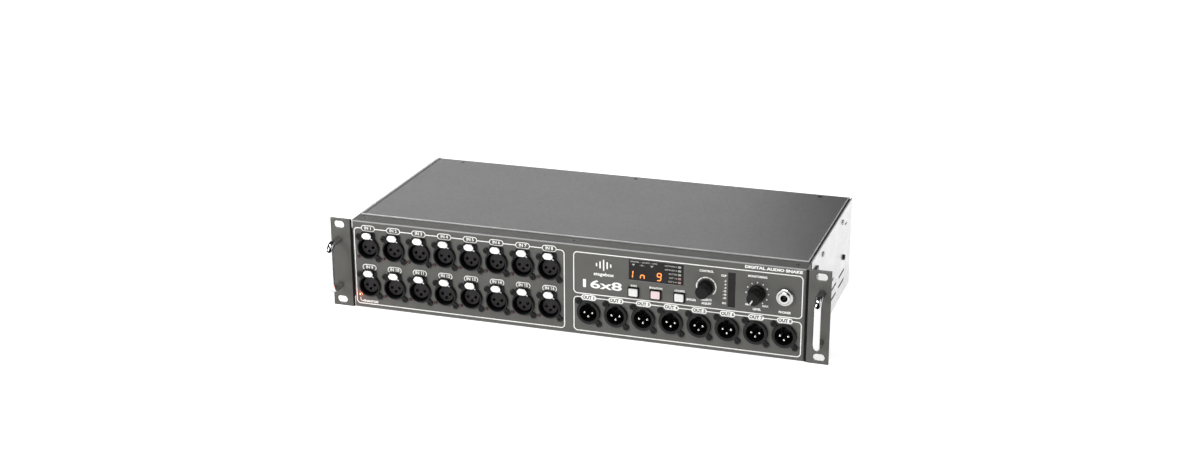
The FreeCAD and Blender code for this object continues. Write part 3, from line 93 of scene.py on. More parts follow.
class Finish:
    """A procedural material on a Principled shader, with helpers for grain and uneven colour."""

    def __init__(self, name, colour, roughness, metallic=0.0, **sockets):
        self.material = bpy.data.materials.new(name)
        self.material.use_nodes = True
        self.nodes = self.material.node_tree.nodes
        self.links = self.material.node_tree.links
        self.shader = self.nodes["Principled BSDF"]
        self.colour = (*colour, 1.0)
        self.roughness = roughness
        self.shader.inputs["Base Color"].default_value = self.colour
        self.shader.inputs["Roughness"].default_value = roughness
        self.shader.inputs["Metallic"].default_value = metallic
        for socket, value in sockets.items():
            self.shader.inputs[socket.replace("_", " ")].default_value = value
        self.place = self.nodes.new("ShaderNodeTexCoord").outputs["Object"]
        self.normal = None

    def noise(self, scale, detail=3.0, stretch=(1, 1, 1)):
        """Noise in the object's own metres; scale is in features per metre."""
        mapping = self.nodes.new("ShaderNodeMapping")
        mapping.inputs["Scale"].default_value = stretch
        self.links.new(self.place, mapping.inputs["Vector"])
        noise = self.nodes.new("ShaderNodeTexNoise")
        noise.inputs["Scale"].default_value = scale
        noise.inputs["Detail"].default_value = detail
        self.links.new(mapping.outputs["Vector"], noise.inputs["Vector"])
        return noise.outputs["Fac"]

    def spread(self, value, start, end, low, high):
        """Maps a value between start and end to one between low and high."""
        spread = self.nodes.new("ShaderNodeMapRange")
        for socket, number in (("From Min", start), ("From Max", end), ("To Min", low),
                               ("To Max", high)):
            spread.inputs[socket].default_value = number
        self.links.new(value, spread.inputs["Value"])
        return spread.outputs["Result"]

    def range(self, value, low, high):
        """Stretches the middle of a noise, where most of its values lie, from low to high."""
        return self.spread(value, 0.3, 0.7, low, high)

    def uneven(self, scale, amount, stretch=(1, 1, 1)):
        """Varies the base colour by a share of itself either way."""
        mix = self.nodes.new("ShaderNodeMix")
        mix.data_type = "RGBA"
        dark, light = mix.inputs[6], mix.inputs[7]
        dark.default_value = (*(c * (1 - amount) for c in self.colour[:3]), 1)
        light.default_value = (*(c * (1 + amount) for c in self.colour[:3]), 1)
        self.links.new(self.range(self.noise(scale, 4.0, stretch), 0, 1), mix.inputs[0])
        self.links.new(mix.outputs[2], self.shader.inputs["Base Color"])
        return self

    def rub(self, scale, amount, stretch=(1, 1, 1)):
        """Varies the roughness by an amount either way."""
        value = self.range(self.noise(scale, 3.0, stretch), self.roughness - amount,
                           self.roughness + amount)
        self.links.new(value, self.shader.inputs["Roughness"])
        return self

    def ease(self, radius):
        """Rounds sharp edges in the shading."""
        bevel = self.nodes.new("ShaderNodeBevel")
        bevel.samples = 4
        bevel.inputs["Radius"].default_value = radius
        self.normal = bevel.outputs["Normal"]
        self.links.new(self.normal, self.shader.inputs["Normal"])
        return self

    def painted_fold_highlight(self, highlight_grey):
        """Painted highlight: paler paint along the folds that face up and outward, where light from above
        would catch them; comes after ease.
        """
        split = self.nodes.new("ShaderNodeSeparateXYZ")
        self.links.new(self.normal, split.inputs["Vector"])
        rising = self.spread(split.outputs["Z"], 0.30, 0.55, 0, 1)
        turning = self.spread(split.outputs["Z"], 0.97, 0.85, 0, 1)
        highlight_mask = self.nodes.new("ShaderNodeMath")
        highlight_mask.operation = "MULTIPLY"
        self.links.new(rising, highlight_mask.inputs[0])
        self.links.new(turning, highlight_mask.inputs[1])
        mix = self.nodes.new("ShaderNodeMix")
        mix.data_type = "RGBA"
        mix.inputs[7].default_value = (highlight_grey, highlight_grey, highlight_grey, 1)
        self.links.new(highlight_mask.outputs["Value"], mix.inputs[0])
        self.links.new(self.shader.inputs["Base Color"].links[0].from_socket, mix.inputs[6])
        self.links.new(mix.outputs[2], self.shader.inputs["Base Color"])
        return self

    def grain(self, scale, strength, stretch=(1, 1, 1)):
        """A fine texture of bumps on top of any eased edges."""
        bump = self.nodes.new("ShaderNodeBump")
        bump.inputs["Strength"].default_value = strength
        bump.inputs["Distance"].default_value = 0.1 * MM
        self.links.new(self.noise(scale, 2.0, stretch), bump.inputs["Height"])
        if self.normal:
            self.links.new(self.normal, bump.inputs["Normal"])
        self.normal = bump.outputs["Normal"]
        self.links.new(self.normal, self.shader.inputs["Normal"])
        return self

    def glow(self, colour, strength):
        """Light that the surface gives off."""
        self.shader.inputs["Emission Color"].default_value = (*colour, 1.0)
        self.shader.inputs["Emission Strength"].default_value = strength
        return self


FINE = 0.25 * MM  # radius of the eased edges of moulded and cut parts
FOLD = 0.9 * MM  # radius of the panel's bends

FINISHES = {
    # Both paints get a painted highlight: paler colour on the folds that face up and outward.
    "panel_paint": Finish("panel_paint", (0.100, 0.099, 0.092), 0.44, Specular_IOR_Level=0.3)
    .uneven(60, 0.05).rub(400, 0.06).ease(FOLD).painted_fold_highlight(0.40).grain(2600, 0.16),
    "cover_paint": Finish("cover_paint", (0.124, 0.122, 0.124), 0.33)
    .uneven(18, 0.06).rub(300, 0.05).ease(FINE).painted_fold_highlight(0.50).grain(2200, 0.22),
    "zinc": Finish("zinc", (0.74, 0.74, 0.74), 0.34, 0.75)
    .uneven(35, 0.05).rub(120, 0.08, (1, 1, 6)).ease(FINE).grain(900, 0.08, stretch=(1, 1, 8)),
    "chrome": Finish("chrome", (0.76, 0.76, 0.76), 0.13, 1.0, Specular_Tint=(0.25, 0.25, 0.25, 1))
    .uneven(20, 0.02).rub(150, 0.03),
    "black_screw": Finish("black_screw", (0.009, 0.009, 0.009), 0.26, 0.3, Specular_IOR_Level=0.4)
    .uneven(900, 0.3).rub(1200, 0.08).ease(0.12 * MM),
    "steel_screw": Finish("steel_screw", (0.5, 0.5, 0.49), 0.3, 1.0)
    .uneven(700, 0.1).rub(900, 0.08).ease(0.15 * MM),
    "shell_black": Finish("shell_black", (0.007, 0.007, 0.0075), 0.34, Specular_IOR_Level=0.24)
    .uneven(500, 0.25).rub(700, 0.06).ease(FINE).grain(3500, 0.12),
    "insert_plastic": Finish("insert_plastic", (0.011, 0.009, 0.011), 0.46,
                             Specular_IOR_Level=0.28)
    .uneven(700, 0.12).rub(900, 0.06).ease(FINE).grain(4200, 0.15),
    "contact": Finish("contact", (0.34, 0.27, 0.15), 0.25, 1.0).uneven(900, 0.08).rub(1200, 0.08),
    "pin": Finish("pin", (0.72, 0.71, 0.69), 0.22, 1.0).uneven(900, 0.04).rub(1300, 0.06),
    "latch": Finish("latch", (0.86, 0.85, 0.84), 0.30, 0.85)
    .uneven(600, 0.04, (8, 1, 1)).rub(900, 0.08, (8, 1, 1)).ease(0.3 * MM),
    "lamp_red": Finish("lamp_red", (0.040, 0.006, 0.006), 0.14).uneven(800, 0.2).rub(900, 0.05),
    "window": Finish("window", (0.012, 0.009, 0.009), 0.12, Specular_IOR_Level=0.22)
    .uneven(90, 0.2).rub(120, 0.04),
    "module": Finish("module", (0.03, 0.03, 0.03), 0.6).uneven(400, 0.2).grain(2500, 0.2),
    "cap": Finish("cap", (0.74, 0.75, 0.73), 0.30, Subsurface_Weight=0.25, Subsurface_Scale=0.002,
                  Subsurface_Radius=(0.6, 0.6, 0.6))
    .uneven(400, 0.04).rub(700, 0.06).ease(FINE).grain(3800, 0.1),
    "switch": Finish("switch", (0.02, 0.02, 0.02), 0.5).uneven(500, 0.2).grain(3000, 0.2),
    "knob": Finish("knob", (0.0025, 0.0025, 0.0025), 0.38, Specular_IOR_Level=0.22)
    .uneven(600, 0.25).rub(900, 0.08).grain(4000, 0.2),
    "shaft": Finish("shaft", (0.7, 0.7, 0.7), 0.3, 1.0).uneven(900, 0.05, (1, 8, 1)).rub(900, 0.08),
    "housing": Finish("housing", (0.55, 0.55, 0.54), 0.35, 1.0).uneven(300, 0.1).rub(400, 0.1),
    "nut": Finish("nut", (0.50, 0.50, 0.49), 0.22, 1.0).uneven(500, 0.05).rub(700, 0.08)
    .ease(0.2 * MM),
    "jack": Finish("jack", (0.56, 0.56, 0.55), 0.18, 1.0).uneven(500, 0.05).rub(700, 0.08)
    .ease(0.2 * MM),
    "board": Finish("board", (0.012, 0.09, 0.035), 0.35).uneven(350, 0.3).rub(600, 0.08)
    .grain(2500, 0.2),
    "black_plastic": Finish("black_plastic", (0.018, 0.018, 0.018), 0.45)
    .uneven(400, 0.2).rub(700, 0.07).ease(FINE).grain(3200, 0.25),
    "rocker": Finish("rocker", (0.014, 0.014, 0.014), 0.25).uneven(400, 0.2).rub(700, 0.06)
    .ease(0.3 * MM),
    "port": Finish("port", (0.022, 0.022, 0.024), 0.42).uneven(400, 0.2).rub(700, 0.07)
    .ease(FINE).grain(3000, 0.2),
}

INK = Finish("white_ink", (0.92, 0.92, 0.89), 0.55).uneven(900, 0.05).grain(4000, 0.15).material
DARK_INK = Finish("dark_ink", (0.05, 0.05, 0.048), 0.5).uneven(900, 0.1).grain(4000, 0.1).material
LIT_DIGIT = Finish("lit_digit", (0.30, 0.06, 0.01), 0.4).uneven(900, 0.1).glow(
    (1.0, 0.28, 0.055), 2.0).material
DIM_INK = Finish("dim_ink", (0.42, 0.42, 0.40), 0.55).uneven(900, 0.05).grain(4000, 0.15).material
LIT_LAMP = Finish("lit_lamp", (0.6, 0.08, 0.03), 0.3).uneven(900, 0.1).glow(
    (1.0, 0.30, 0.15), 6.0).material
BAR_PALE = Finish("bar_pale", (0.34, 0.37, 0.31), 0.35).uneven(900, 0.1).rub(900, 0.05).material
BAR_WARM = Finish("bar_warm", (0.34, 0.20, 0.19), 0.35).uneven(900, 0.1).rub(900, 0.05).material
METER_CELL = Finish("meter_cell", (0.008, 0.009, 0.009), 0.2, Specular_IOR_Level=0.22).uneven(900, 0.2).rub(
    900, 0.05).material
GOLD = Finish("gilt_contact", (0.80, 0.58, 0.22), 0.25, 1.0).uneven(900, 0.05).rub(
    900, 0.06).material
# Pale grey for the cover's rim: a painted highlight along the cover's edges.
EDGE_HIGHLIGHT = Finish("painted_edge_highlight", (0.76, 0.76, 0.76), 0.35, 0.2).uneven(300, 0.12, (0.2, 1, 1)).rub(
    500, 0.08).material
# Near-black for pieces that stand in for shade: painted shadow in the ear grooves and round the buttons.
SHADOW_BLACK = Finish("painted_shadow_black", (0.003, 0.003, 0.003), 0.55, Specular_IOR_Level=0.12).uneven(
    600, 0.2).rub(800, 0.05).material
LIT_CAP = Finish("lit_cap", (0.66, 0.58, 0.585), 0.30).uneven(400, 0.04).rub(700, 0.06).ease(
    FINE).grain(3800, 0.1).glow((1.0, 0.34, 0.36), 0.10).material

for row in frame["record"]["subparts"]:
    cad_object = frame["nodes"][row["node"]]
    finish = FINISHES[row["material_slot"]].material
    for material_slot in cad_object.material_slots:
        material_slot.material = finish
for material_slot in frame["nodes"]["phantom_button"].material_slots:
    material_slot.material = LIT_CAP


# ---------------------------------------------------------------- mesh helpers


def new_piece(name, mesh, material, body, smooth=False):
    """Adds a mesh as one piece of the object that rides on a body."""
    piece = bpy.data.objects.new(name, mesh)
    bpy.context.scene.collection.objects.link(piece)
    mesh.materials.clear()
    mesh.materials.append(material)
    if smooth:
        for polygon in mesh.polygons:
            polygon.use_smooth = True
    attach(piece, body)
    return piece


def to_mesh(name, build):
    """The mesh that a function fills a bmesh with."""
    shape = bmesh.new()
    build(shape)
    bmesh.ops.recalc_face_normals(shape, faces=shape.faces)
    mesh = bpy.data.meshes.new(name)
    shape.to_mesh(mesh)
    shape.free()
    return mesh


def loft(shape, rings):
    """A closed tube through rings that have the same number of points."""
    rows = [[shape.verts.new(point) for point in ring] for ring in rings]
    for one, two in zip(rows, rows[1:]):
        for number in range(len(one)):
            after = (number + 1) % len(one)
            shape.faces.new((one[number], one[after], two[after], two[number]))
    shape.faces.new(rows[0])
    shape.faces.new(list(reversed(rows[-1])))


class Print:
    """Ink on a flat face: closed plates a few hundredths of a millimetre thick.

    across and up are the face's axes in the row frame, and out points off the face.
    """

    THICK = 0.03 * MM

    def __init__(self, origin, across, up, lift=0.0):
        self.across, self.up = Vector(across), Vector(up)
        self.out = self.across.cross(self.up)
        self.origin = Vector(origin) + self.out * lift
        self.shape = bmesh.new()

    def spot(self, x, z, height):
        """The point at x, z on the face and the given height off it."""
        return self.origin + self.across * x + self.up * z + self.out * height

    def plate(self, outline, thick=None):
        """A plate with a convex or simple outline, given anticlockwise."""
        thick = thick or self.THICK
        low = [self.shape.verts.new(self.spot(x, z, 0)) for x, z in outline]
        high = [self.shape.verts.new(self.spot(x, z, thick)) for x, z in outline]
        self.shape.faces.new(high)
        self.shape.faces.new(list(reversed(low)))
        count = len(outline)
        for number in range(count):
            after = (number + 1) % count
            self.shape.faces.new((low[number], low[after], high[after], high[number]))

    def band(self, inner, outer, closed=True, thick=None):
        """A strip between two rows of points that run the same way."""
        thick = thick or self.THICK
        count = len(inner)
        rows = []
        for points, height in ((inner, 0), (outer, 0), (outer, thick), (inner, thick)):
            rows.append([self.shape.verts.new(self.spot(x, z, height)) for x, z in points])
        for number in range(count if closed else count - 1):
            after = (number + 1) % count
            for one, other in ((0, 1), (1, 2), (2, 3), (3, 0)):
                self.shape.faces.new((rows[one][number], rows[other][number],
                                      rows[other][after], rows[one][after]))
        if not closed:
            self.shape.faces.new([row[0] for row in rows])
            self.shape.faces.new([row[-1] for row in reversed(rows)])

    def line(self, x0, z0, x1, z1, width):
        """A straight strip between two points."""
        run = Vector((x1 - x0, z1 - z0))
        side = Vector((-run.y, run.x)).normalized() * width / 2
        self.plate([(x0 - side.x, z0 - side.y), (x1 - side.x, z1 - side.y),
                    (x1 + side.x, z1 + side.y), (x0 + side.x, z0 + side.y)])

    def arc(self, x, z, radius, start, end, width, steps=24):
        """A round strip; angles are in degrees, anticlockwise from across."""
        inner, outer = [], []
        for number in range(steps + 1):
            turn = math.radians(start + (end - start) * number / steps)
            for row, reach in ((inner, radius - width / 2), (outer, radius + width / 2)):
                row.append((x + reach * math.cos(turn), z + reach * math.sin(turn)))
        self.band(inner, outer, closed=False)

    def dot(self, x, z, radius, steps):
        """A filled circle."""
        self.plate([(x + radius * math.cos(math.tau * n / steps),
                     z + radius * math.sin(math.tau * n / steps)) for n in range(steps)])

    def box(self, x0, z0, x1, z1, thick=None):
        """A rectangle from its lower left to its upper right corner."""
        self.plate([(x0, z0), (x1, z0), (x1, z1), (x0, z1)], thick)

    def capsule(self, x, z, length, height, width=None):
        """A filled capsule, or its outline when a line width is given."""
        outer = capsule_points(x, z, length, height)
        if width is None:
            self.plate(outer)
        else:
            self.band(capsule_points(x, z, length - 2 * width, height - 2 * width), outer)

    def upright_capsule(self, x, z, width, height):
        """A filled capsule that stands on its end."""
        self.plate([(x + b - z, z + x - a) for a, b in capsule_points(x, z, height, width)])

    def text(self, words, x, z, height, align="CENTER", bold=0.065, squeeze=1.0):
        """Lettering whose capitals have the given height, centred on z."""
        curve = bpy.data.curves.new("letters", "FONT")
        curve.body = words
        curve.align_x = align
        curve.align_y = "CENTER"
        curve.size = height / 0.70
        curve.offset = bold * height
        curve.resolution_u = 3
        curve.extrude = self.THICK / 2
        holder = bpy.data.objects.new("letters", curve)
        bpy.context.scene.collection.objects.link(holder)
        bpy.context.view_layer.update()
        mesh = bpy.data.meshes.new_from_object(holder)
        turn = Matrix((self.across, self.up, self.out)).transposed().to_4x4()
        place = Matrix.Translation(self.spot(x, z, self.THICK / 2)) @ turn
        mesh.transform(place @ Matrix.Diagonal((squeeze, 1, 1, 1)))
        self.shape.from_mesh(mesh)
        bpy.data.objects.remove(holder)
        bpy.data.curves.remove(curve)
        bpy.data.meshes.remove(mesh)

    def finish(self, name, material, slot, body="case"):
        """Turns all that was drawn into one piece."""
        bmesh.ops.remove_doubles(self.shape, verts=self.shape.verts, dist=1e-7)
        bmesh.ops.recalc_face_normals(self.shape, faces=self.shape.faces)
        mesh = bpy.data.meshes.new(name)
        self.shape.to_mesh(mesh)
        self.shape.free()
        return new_piece(name, mesh, material, body)


def capsule_points(x, z, length, height, steps=10):
    """Points round a lying capsule, anticlockwise."""
    radius, reach = height / 2, (length - height) / 2
    points = []
    for number in range(steps + 1):
        turn = -math.pi / 2 + math.pi * number / steps
        points.append((x + reach + radius * math.cos(turn), z + radius * math.sin(turn)))
    for number in range(steps + 1):
        turn = math.pi / 2 + math.pi * number / steps
        points.append((x - reach + radius * math.cos(turn), z + radius * math.sin(turn)))
    return points


def front_print(lift=0.0):
    """A print on the front face whose coordinates are the row frame's X and Z."""
    return Print((0, FACE, 0), (1, 0, 0), (0, 0, 1), lift)


def lathe(profile, axis_place, axis, steps=64, ribs=0, rib_depth=0.0, ribbed=None):
    """A closed solid of revolution from (reach, height) points; a profile starts and ends at 0.

    ribbed(height) says how much of the rib depth applies at a height along the axis.
    """
    axis = Vector(axis).normalized()
    side = axis.orthogonal().normalized()
    other = axis.cross(side)

    def build(shape):
        rings = []
        for reach, height in profile:
            centre = Vector(axis_place) + axis * height
            if reach < 1e-7:
                rings.append([shape.verts.new(centre)])
                continue
            ring = []
            for number in range(steps):
                turn = math.tau * number / steps
                cut = 0.0
                if ribs and ribbed:
                    cut = rib_depth * ribbed(height) * (0.5 + 0.5 * math.cos(turn * ribs))
                spoke = side * math.cos(turn) + other * math.sin(turn)
                ring.append(shape.verts.new(centre + spoke * (reach - cut)))
            rings.append(ring)
        for one, two in zip(rings, rings[1:]):
            for number in range(steps):
                after = (number + 1) % steps
                if len(one) == 1 and len(two) == 1:
                    break
                if len(one) == 1:
                    shape.faces.new((one[0], two[number], two[after]))
                elif len(two) == 1:
                    shape.faces.new((one[number], one[after], two[0]))
                else:
                    shape.faces.new((one[number], one[after], two[after], two[number]))
    return to_mesh("lathe", build)


# ---------------------------------------------------------------- camera, floor and light

CAMERA_PLACE = Vector((508.0, -1473.3, 599.5)) * MM
CAMERA_TARGET = Vector((18.58, -2.0, 61.1)) * MM
CAMERA_ROLL = math.radians(-0.184)
LENS = 55.37


def make_camera():
    """The camera that looks at the front from its right and from above."""
    data = bpy.data.cameras.new("camera")
    data.lens = LENS
    data.sensor_width = 36.0
    data.clip_start = 0.05
    data.clip_end = 50.0
    camera = bpy.data.objects.new("camera", data)
    aim = (CAMERA_TARGET - CAMERA_PLACE).to_track_quat("-Z", "Y")
    camera.rotation_mode = "QUATERNION"
    camera.rotation_quaternion = aim @ Quaternion((0, 0, 1), CAMERA_ROLL)
    camera.location = CAMERA_PLACE
    bpy.context.scene.collection.objects.link(camera)
    bpy.context.scene.camera = camera


FLOOR_HALF = 6.0
FLOOR_GAP = 0.2 * MM


def make_floor():
    """White paper just under the object."""
    low = CAD_BOX[0][2] - FLOOR_GAP

    def build(shape):
        corners = [(-FLOOR_HALF, -FLOOR_HALF), (FLOOR_HALF, -FLOOR_HALF),
                   (FLOOR_HALF, FLOOR_HALF), (-FLOOR_HALF, FLOOR_HALF)]
        shape.faces.new([shape.verts.new((x, y, low)) for x, y in corners])
    mesh = to_mesh("floor", build)
    floor = bpy.data.objects.new("floor", mesh)
    bpy.context.scene.collection.objects.link(floor)
    paper = Finish("floor", (0.92, 0.92, 0.92), 0.9).uneven(3, 0.004).glow((1, 1, 1), 0.75)
    mesh.materials.append(paper.material)


def make_area_light(name, place, target, width, height, power):
    """A rectangular light that faces a target, in metres and watts."""
    data = bpy.data.lights.new(name, "AREA")
    data.shape = "RECTANGLE"
    data.size = width
    data.size_y = height
    data.energy = power
    light = bpy.data.objects.new(name, data)
    light.location = place
    aim = (Vector(target) - Vector(place)).to_track_quat("-Z", "Y")
    light.rotation_mode = "QUATERNION"
    light.rotation_quaternion = aim
    bpy.context.scene.collection.objects.link(light)


ROOM_TURN = (-0.75, 0.05)  # how far forward the room starts to dim, and where it stops
ROOM_LEVEL = (0.10, 0.55)


def make_world():
    """A dim room that is darker in front of the object than behind it."""
    world = bpy.data.worlds.new("studio")
    world.use_nodes = True
    nodes, links = world.node_tree.nodes, world.node_tree.links
    split = nodes.new("ShaderNodeSeparateXYZ")
    links.new(nodes.new("ShaderNodeTexCoord").outputs["Generated"], split.inputs["Vector"])
    fade = nodes.new("ShaderNodeMapRange")
    for socket, value in zip(("From Min", "From Max", "To Min", "To Max"),
                             ROOM_TURN + ROOM_LEVEL):
        fade.inputs[socket].default_value = value
    links.new(split.outputs["Y"], fade.inputs["Value"])
    links.new(fade.outputs["Result"], nodes["Background"].inputs["Strength"])
    bpy.context.scene.world = world


# name, place, target, width, height and power
LIGHTS = [
    ("overhead", (-0.35, -0.75, 2.0), (-0.1, 0, 0), 2.4, 0.4, 26.0),
    ("key", (-1.4, -1.7, 1.1), (0, 0, 0), 0.7, 0.9, 30.0),
    ("rear_left", (-1.55, 2.6, 1.05), (-0.2, 0.1, 0), 2.5, 1.0, 12.0),
    ("right_fill", (2.0, 0.2, 0.9), (0.2, 0.1, 0), 1.4, 1.4, 6.2),
]

bpy.context.scene.view_settings.view_transform = "Standard"
make_camera()
make_floor()
make_world()
for light_row in LIGHTS:
    make_area_light(*light_row)


# ---------------------------------------------------------------- front printing

LINE = 0.9 * MM
CORNER = 3.5 * MM
CAP_LONG, CAP_TALL, CAP_LINE = 14.3 * MM, 6.1 * MM, 0.75 * MM
PLATE_LONG, PLATE_TALL = 14.4 * MM, 5.4 * MM
LETTER = 2.9 * MM
LOWER_LABEL_RISE = 18.2 * MM  # from the axis of a lower input
FRAME_TOP = 36.9 * MM
# left, low, right and high sides of each frame
INPUT_FRAME = (-216.8 * MM, -39.5 * MM, -6.0 * MM, FRAME_TOP)
CONTROL_FRAME = (3.2 * MM, -3.0 * MM, 216.0 * MM, FRAME_TOP)
OUTPUT_FRAME = (3.2 * MM, -39.8 * MM, 216.0 * MM, -6.6 * MM)
LABEL_LIFT = 0.03 * MM
BRACKET = 0.6 * MM


def draw_frame(ink, left, low, right, high, gaps=()):
    """A rounded rectangle of line, with gaps (start, end) along its top."""
    for x, z, start in ((right - CORNER, high - CORNER, 0), (left + CORNER, high - CORNER, 90),
                        (left + CORNER, low + CORNER, 180), (right - CORNER, low + CORNER, 270)):
        ink.arc(x, z, CORNER, start, start + 90, LINE, 10)
    ink.line(left + CORNER, low, right - CORNER, low, LINE)
    ink.line(left, high - CORNER, left, low + CORNER, LINE)
    ink.line(right, low + CORNER, right, high - CORNER, LINE)
    start = left + CORNER
    for gap_start, gap_end in gaps:
        ink.line(start, high, gap_start, high, LINE)
        start = gap_end
    ink.line(start, high, right - CORNER, high, LINE)


def print_frames():
    """The three white frames; the top of the first one stops at the input labels."""
    ink = front_print()
    gaps = [(x - CAP_LONG / 2, x + CAP_LONG / 2) for x, _ in INPUTS[:PER_ROW]]
    draw_frame(ink, *INPUT_FRAME, gaps)
    draw_frame(ink, *CONTROL_FRAME)
    draw_frame(ink, *OUTPUT_FRAME)
    ink.finish("printed_frames", INK, None)


def print_input_labels():
    """Numbers in outlined capsules above the inputs."""
    ink = front_print()
    for number, (x, z) in enumerate(INPUTS, 1):
        top = FRAME_TOP + 0.2 * MM if number <= PER_ROW else z + LOWER_LABEL_RISE
        ink.capsule(x, top, CAP_LONG, CAP_TALL, CAP_LINE)
        ink.text(f"IN {number}", x, top, LETTER, bold=0.05)
    ink.finish("printed_input_labels", INK, None)


def print_output_labels():
    """Dark numbers on white plates above the outputs."""
    plates = front_print(LABEL_LIFT)
    words = front_print(LABEL_LIFT * 2.2)
    top = OUTPUT_FRAME[3] - 0.1 * MM
    for number, (x, _) in enumerate(OUTPUTS, 1):
        plates.capsule(x, top, PLATE_LONG, PLATE_TALL)
        words.text(f"OUT {number}", x, top, LETTER, bold=0.06)
    plates.finish("printed_output_plates", INK, None)
    words.finish("printed_output_labels", DARK_INK, "panel_paint")


def print_phantom_mark():
    """Bracket from the first lower lamp to its word."""
    ink = front_print()
    x, z = INPUTS[PER_ROW][0] + LAMP_DROP[0], INPUTS[PER_ROW][1] + LAMP_DROP[1]
    bend, foot = 1.6 * MM, z - 6.8 * MM
    ink.line(x, z - 3.4 * MM, x, foot + bend, BRACKET)
    ink.arc(x + bend, foot + bend, bend, 180, 270, BRACKET, 6)
    ink.line(x + bend, foot, x + 3.4 * MM, foot, BRACKET)
    ink.text("PHANTOM", x + 10.6 * MM, foot, 2.2 * MM, bold=0.06)
    ink.finish("printed_phantom_mark", INK, None)


ENCODER = middle("encoder_knob")
LEVEL = middle("level_knob")
PHONES = middle("phones_jack")
METER_LOW, METER_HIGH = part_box("meter_window")
WINDOW_LOW, WINDOW_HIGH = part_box("display_window")
RIM = 2.1 * MM  # the part of each window that the panel hides
BUTTONS = [("gain_button", "GAIN"), ("phantom_button", "PHANTOM"), ("config_button", "CONFIG")]
GATE_IN = (4.35 * MM, 3.75 * MM)
GATE_OUT = (5.25 * MM, 4.8 * MM)
GATE_PROUD = 1.35 * MM
# words, the middle of their control, the way across and up from it, and their height, in mm
CONTROL_WORDS = [
    ("(HOLD)", middle("config_button"), 10.8, -1.0, 1.8),
    ("CONTROL", ENCODER, 0, 15.0, 1.9),
    ("SELECT/", ENCODER, 0.5, -12.5, 1.9),
    ("ADJUST", ENCODER, 0.5, -16.0, 1.9),
    ("MONITORING", LEVEL, 0, 15.7, 1.9),
    ("MIN", LEVEL, -8.3, -11.5, 1.8),
    ("MAX", LEVEL, 7.6, -11.5, 1.8),
    ("LEVEL", LEVEL, 0, -15.3, 2.0),
    ("PHONES", PHONES, 0, -15.0, 2.0),
]
# words, height on the panel and height of the letters, in mm
METER_WORDS = [
    ("CLIP", 29.5, 1.8), ("-3", 24.5, 1.7), ("-6", 21.3, 1.7), ("-9", 18.0, 1.7),
    ("-12", 14.8, 1.7), ("-18", 11.5, 1.7), ("-30", 8.2, 1.7), ("SIG", 3.3, 1.8),
]
# start and end of each stretch of the encoder's scale, in degrees
SCALE_ARCS = [(-46, -9), (-5, 32), (36, 72), (76, 112), (116, 152), (156, 192)]
LEVEL_DOTS = 11


def print_control_labels():
    """The words and scales round the buttons, knobs, meter and phones socket."""
    ink = front_print()
    for node, words in BUTTONS:
        ink.text(words, middle(node).x, middle(node).z + 5.9 * MM, 1.9 * MM, squeeze=0.92)
    for words, centre, across, up, tall in CONTROL_WORDS:
        ink.text(words, centre.x + across * MM, centre.z + up * MM, tall * MM)
    for start, end in SCALE_ARCS:
        ink.arc(ENCODER.x, ENCODER.z, 9.0 * MM, start, end, 1.1 * MM, 8)
    for number in range(LEVEL_DOTS):
        turn = math.radians(240 - 30 * number)
        ink.dot(LEVEL.x + 10.2 * MM * math.cos(turn), LEVEL.z + 10.2 * MM * math.sin(turn),
                0.65 * MM, 12)
    meter_x = METER_LOW.x + RIM - 1.6 * MM
    for words, height, tall in METER_WORDS:
        ink.text(words, meter_x, height * MM, tall * MM, align="RIGHT")
    ink.finish("printed_control_labels", INK, None)


def rounded_box(halves, radius, steps=5):
    """Points round a box that has the given half sizes and corner radius."""
    points = []
    for turn, (side, rise) in enumerate(((1, 1), (-1, 1), (-1, -1), (1, -1))):
        for number in range(steps + 1):
            angle = math.pi / 2 * (turn + number / steps)
            points.append((side * (halves[0] - radius) + radius * math.cos(angle),
                           rise * (halves[1] - radius) + radius * math.sin(angle)))
    return points


def make_button_shadow_collars():
    """Black collars on the panel round each push-button: painted shade for the gaps and the shaded sides
    round the caps.
    """
    for node, _ in BUTTONS:
        centre = middle(node)
        shadow_collar = Print((centre.x, FACE, centre.z), (1, 0, 0), (0, 0, 1))
        shadow_collar.band(rounded_box(GATE_IN, 0.6 * MM), rounded_box(GATE_OUT, 1.0 * MM),
                    thick=GATE_PROUD)
        # The collars are painted shade, not plastic parts.
        shadow_collar.finish(f"{node}_collar", SHADOW_BLACK, "black_plastic")


def print_generic_mark():
    """A plain mark of level bars with the kind of unit under it."""
    ink = front_print()
    centre = 32.0 * MM
    for place, tall in zip((-2, -1, 0, 1, 2), (3.4, 7.0, 11.0, 7.0, 3.4)):
        ink.upright_capsule(centre + place * 3.4 * MM, 26.6 * MM, 1.3 * MM, tall * MM)
    ink.text("stagebox", centre, 17.6 * MM, 3.1 * MM, bold=0.035, squeeze=1.2)
    ink.text("16x8", centre - 3.0 * MM, 6.8 * MM, 7.6 * MM, bold=0.03, squeeze=1.9)
    ink.text("DIGITAL AUDIO SNAKE", CONTROL_FRAME[2] - 0.5 * MM, 40.4 * MM, 2.5 * MM,
             align="RIGHT", bold=0.07, squeeze=1.38)
    ink.finish("printed_generic_mark", INK, None)


print_frames()
print_input_labels()
print_output_labels()
print_phantom_mark()
print_control_labels()
print_generic_mark()


# ---------------------------------------------------------------- display and meter

GLASS = WINDOW_LOW.y
# lit segments of each sign, and its way from the window's left side, in mm
SEGMENTS = {"1": "ef", "n": "ceg", "9": "abcdfg"}
SIGNS = [("1", 5.3), ("n", 12.8), ("9", 28.4)]
SLANT = 0.09
SMALL = 1.3 * MM  # letters at the top of the window
# words beside the lamps, and their way down from the window's top, in mm
LAMP_ROWS = [
    ("NETWORK A", 2.6), ("NETWORK B", 6.3), ("SPLITTER", 10.0), ("OUT 1-8", 13.7), ("OUT 9-16", 17.4),
]
PALE_ROWS = 3
METER_CELLS, METER_STEP = 8, 3.95 * MM


def glass_print(depth):
    """Print that is seen on the face of a window at the given depth."""
    return Print((0, depth, 0), (1, 0, 0), (0, 0, 1))


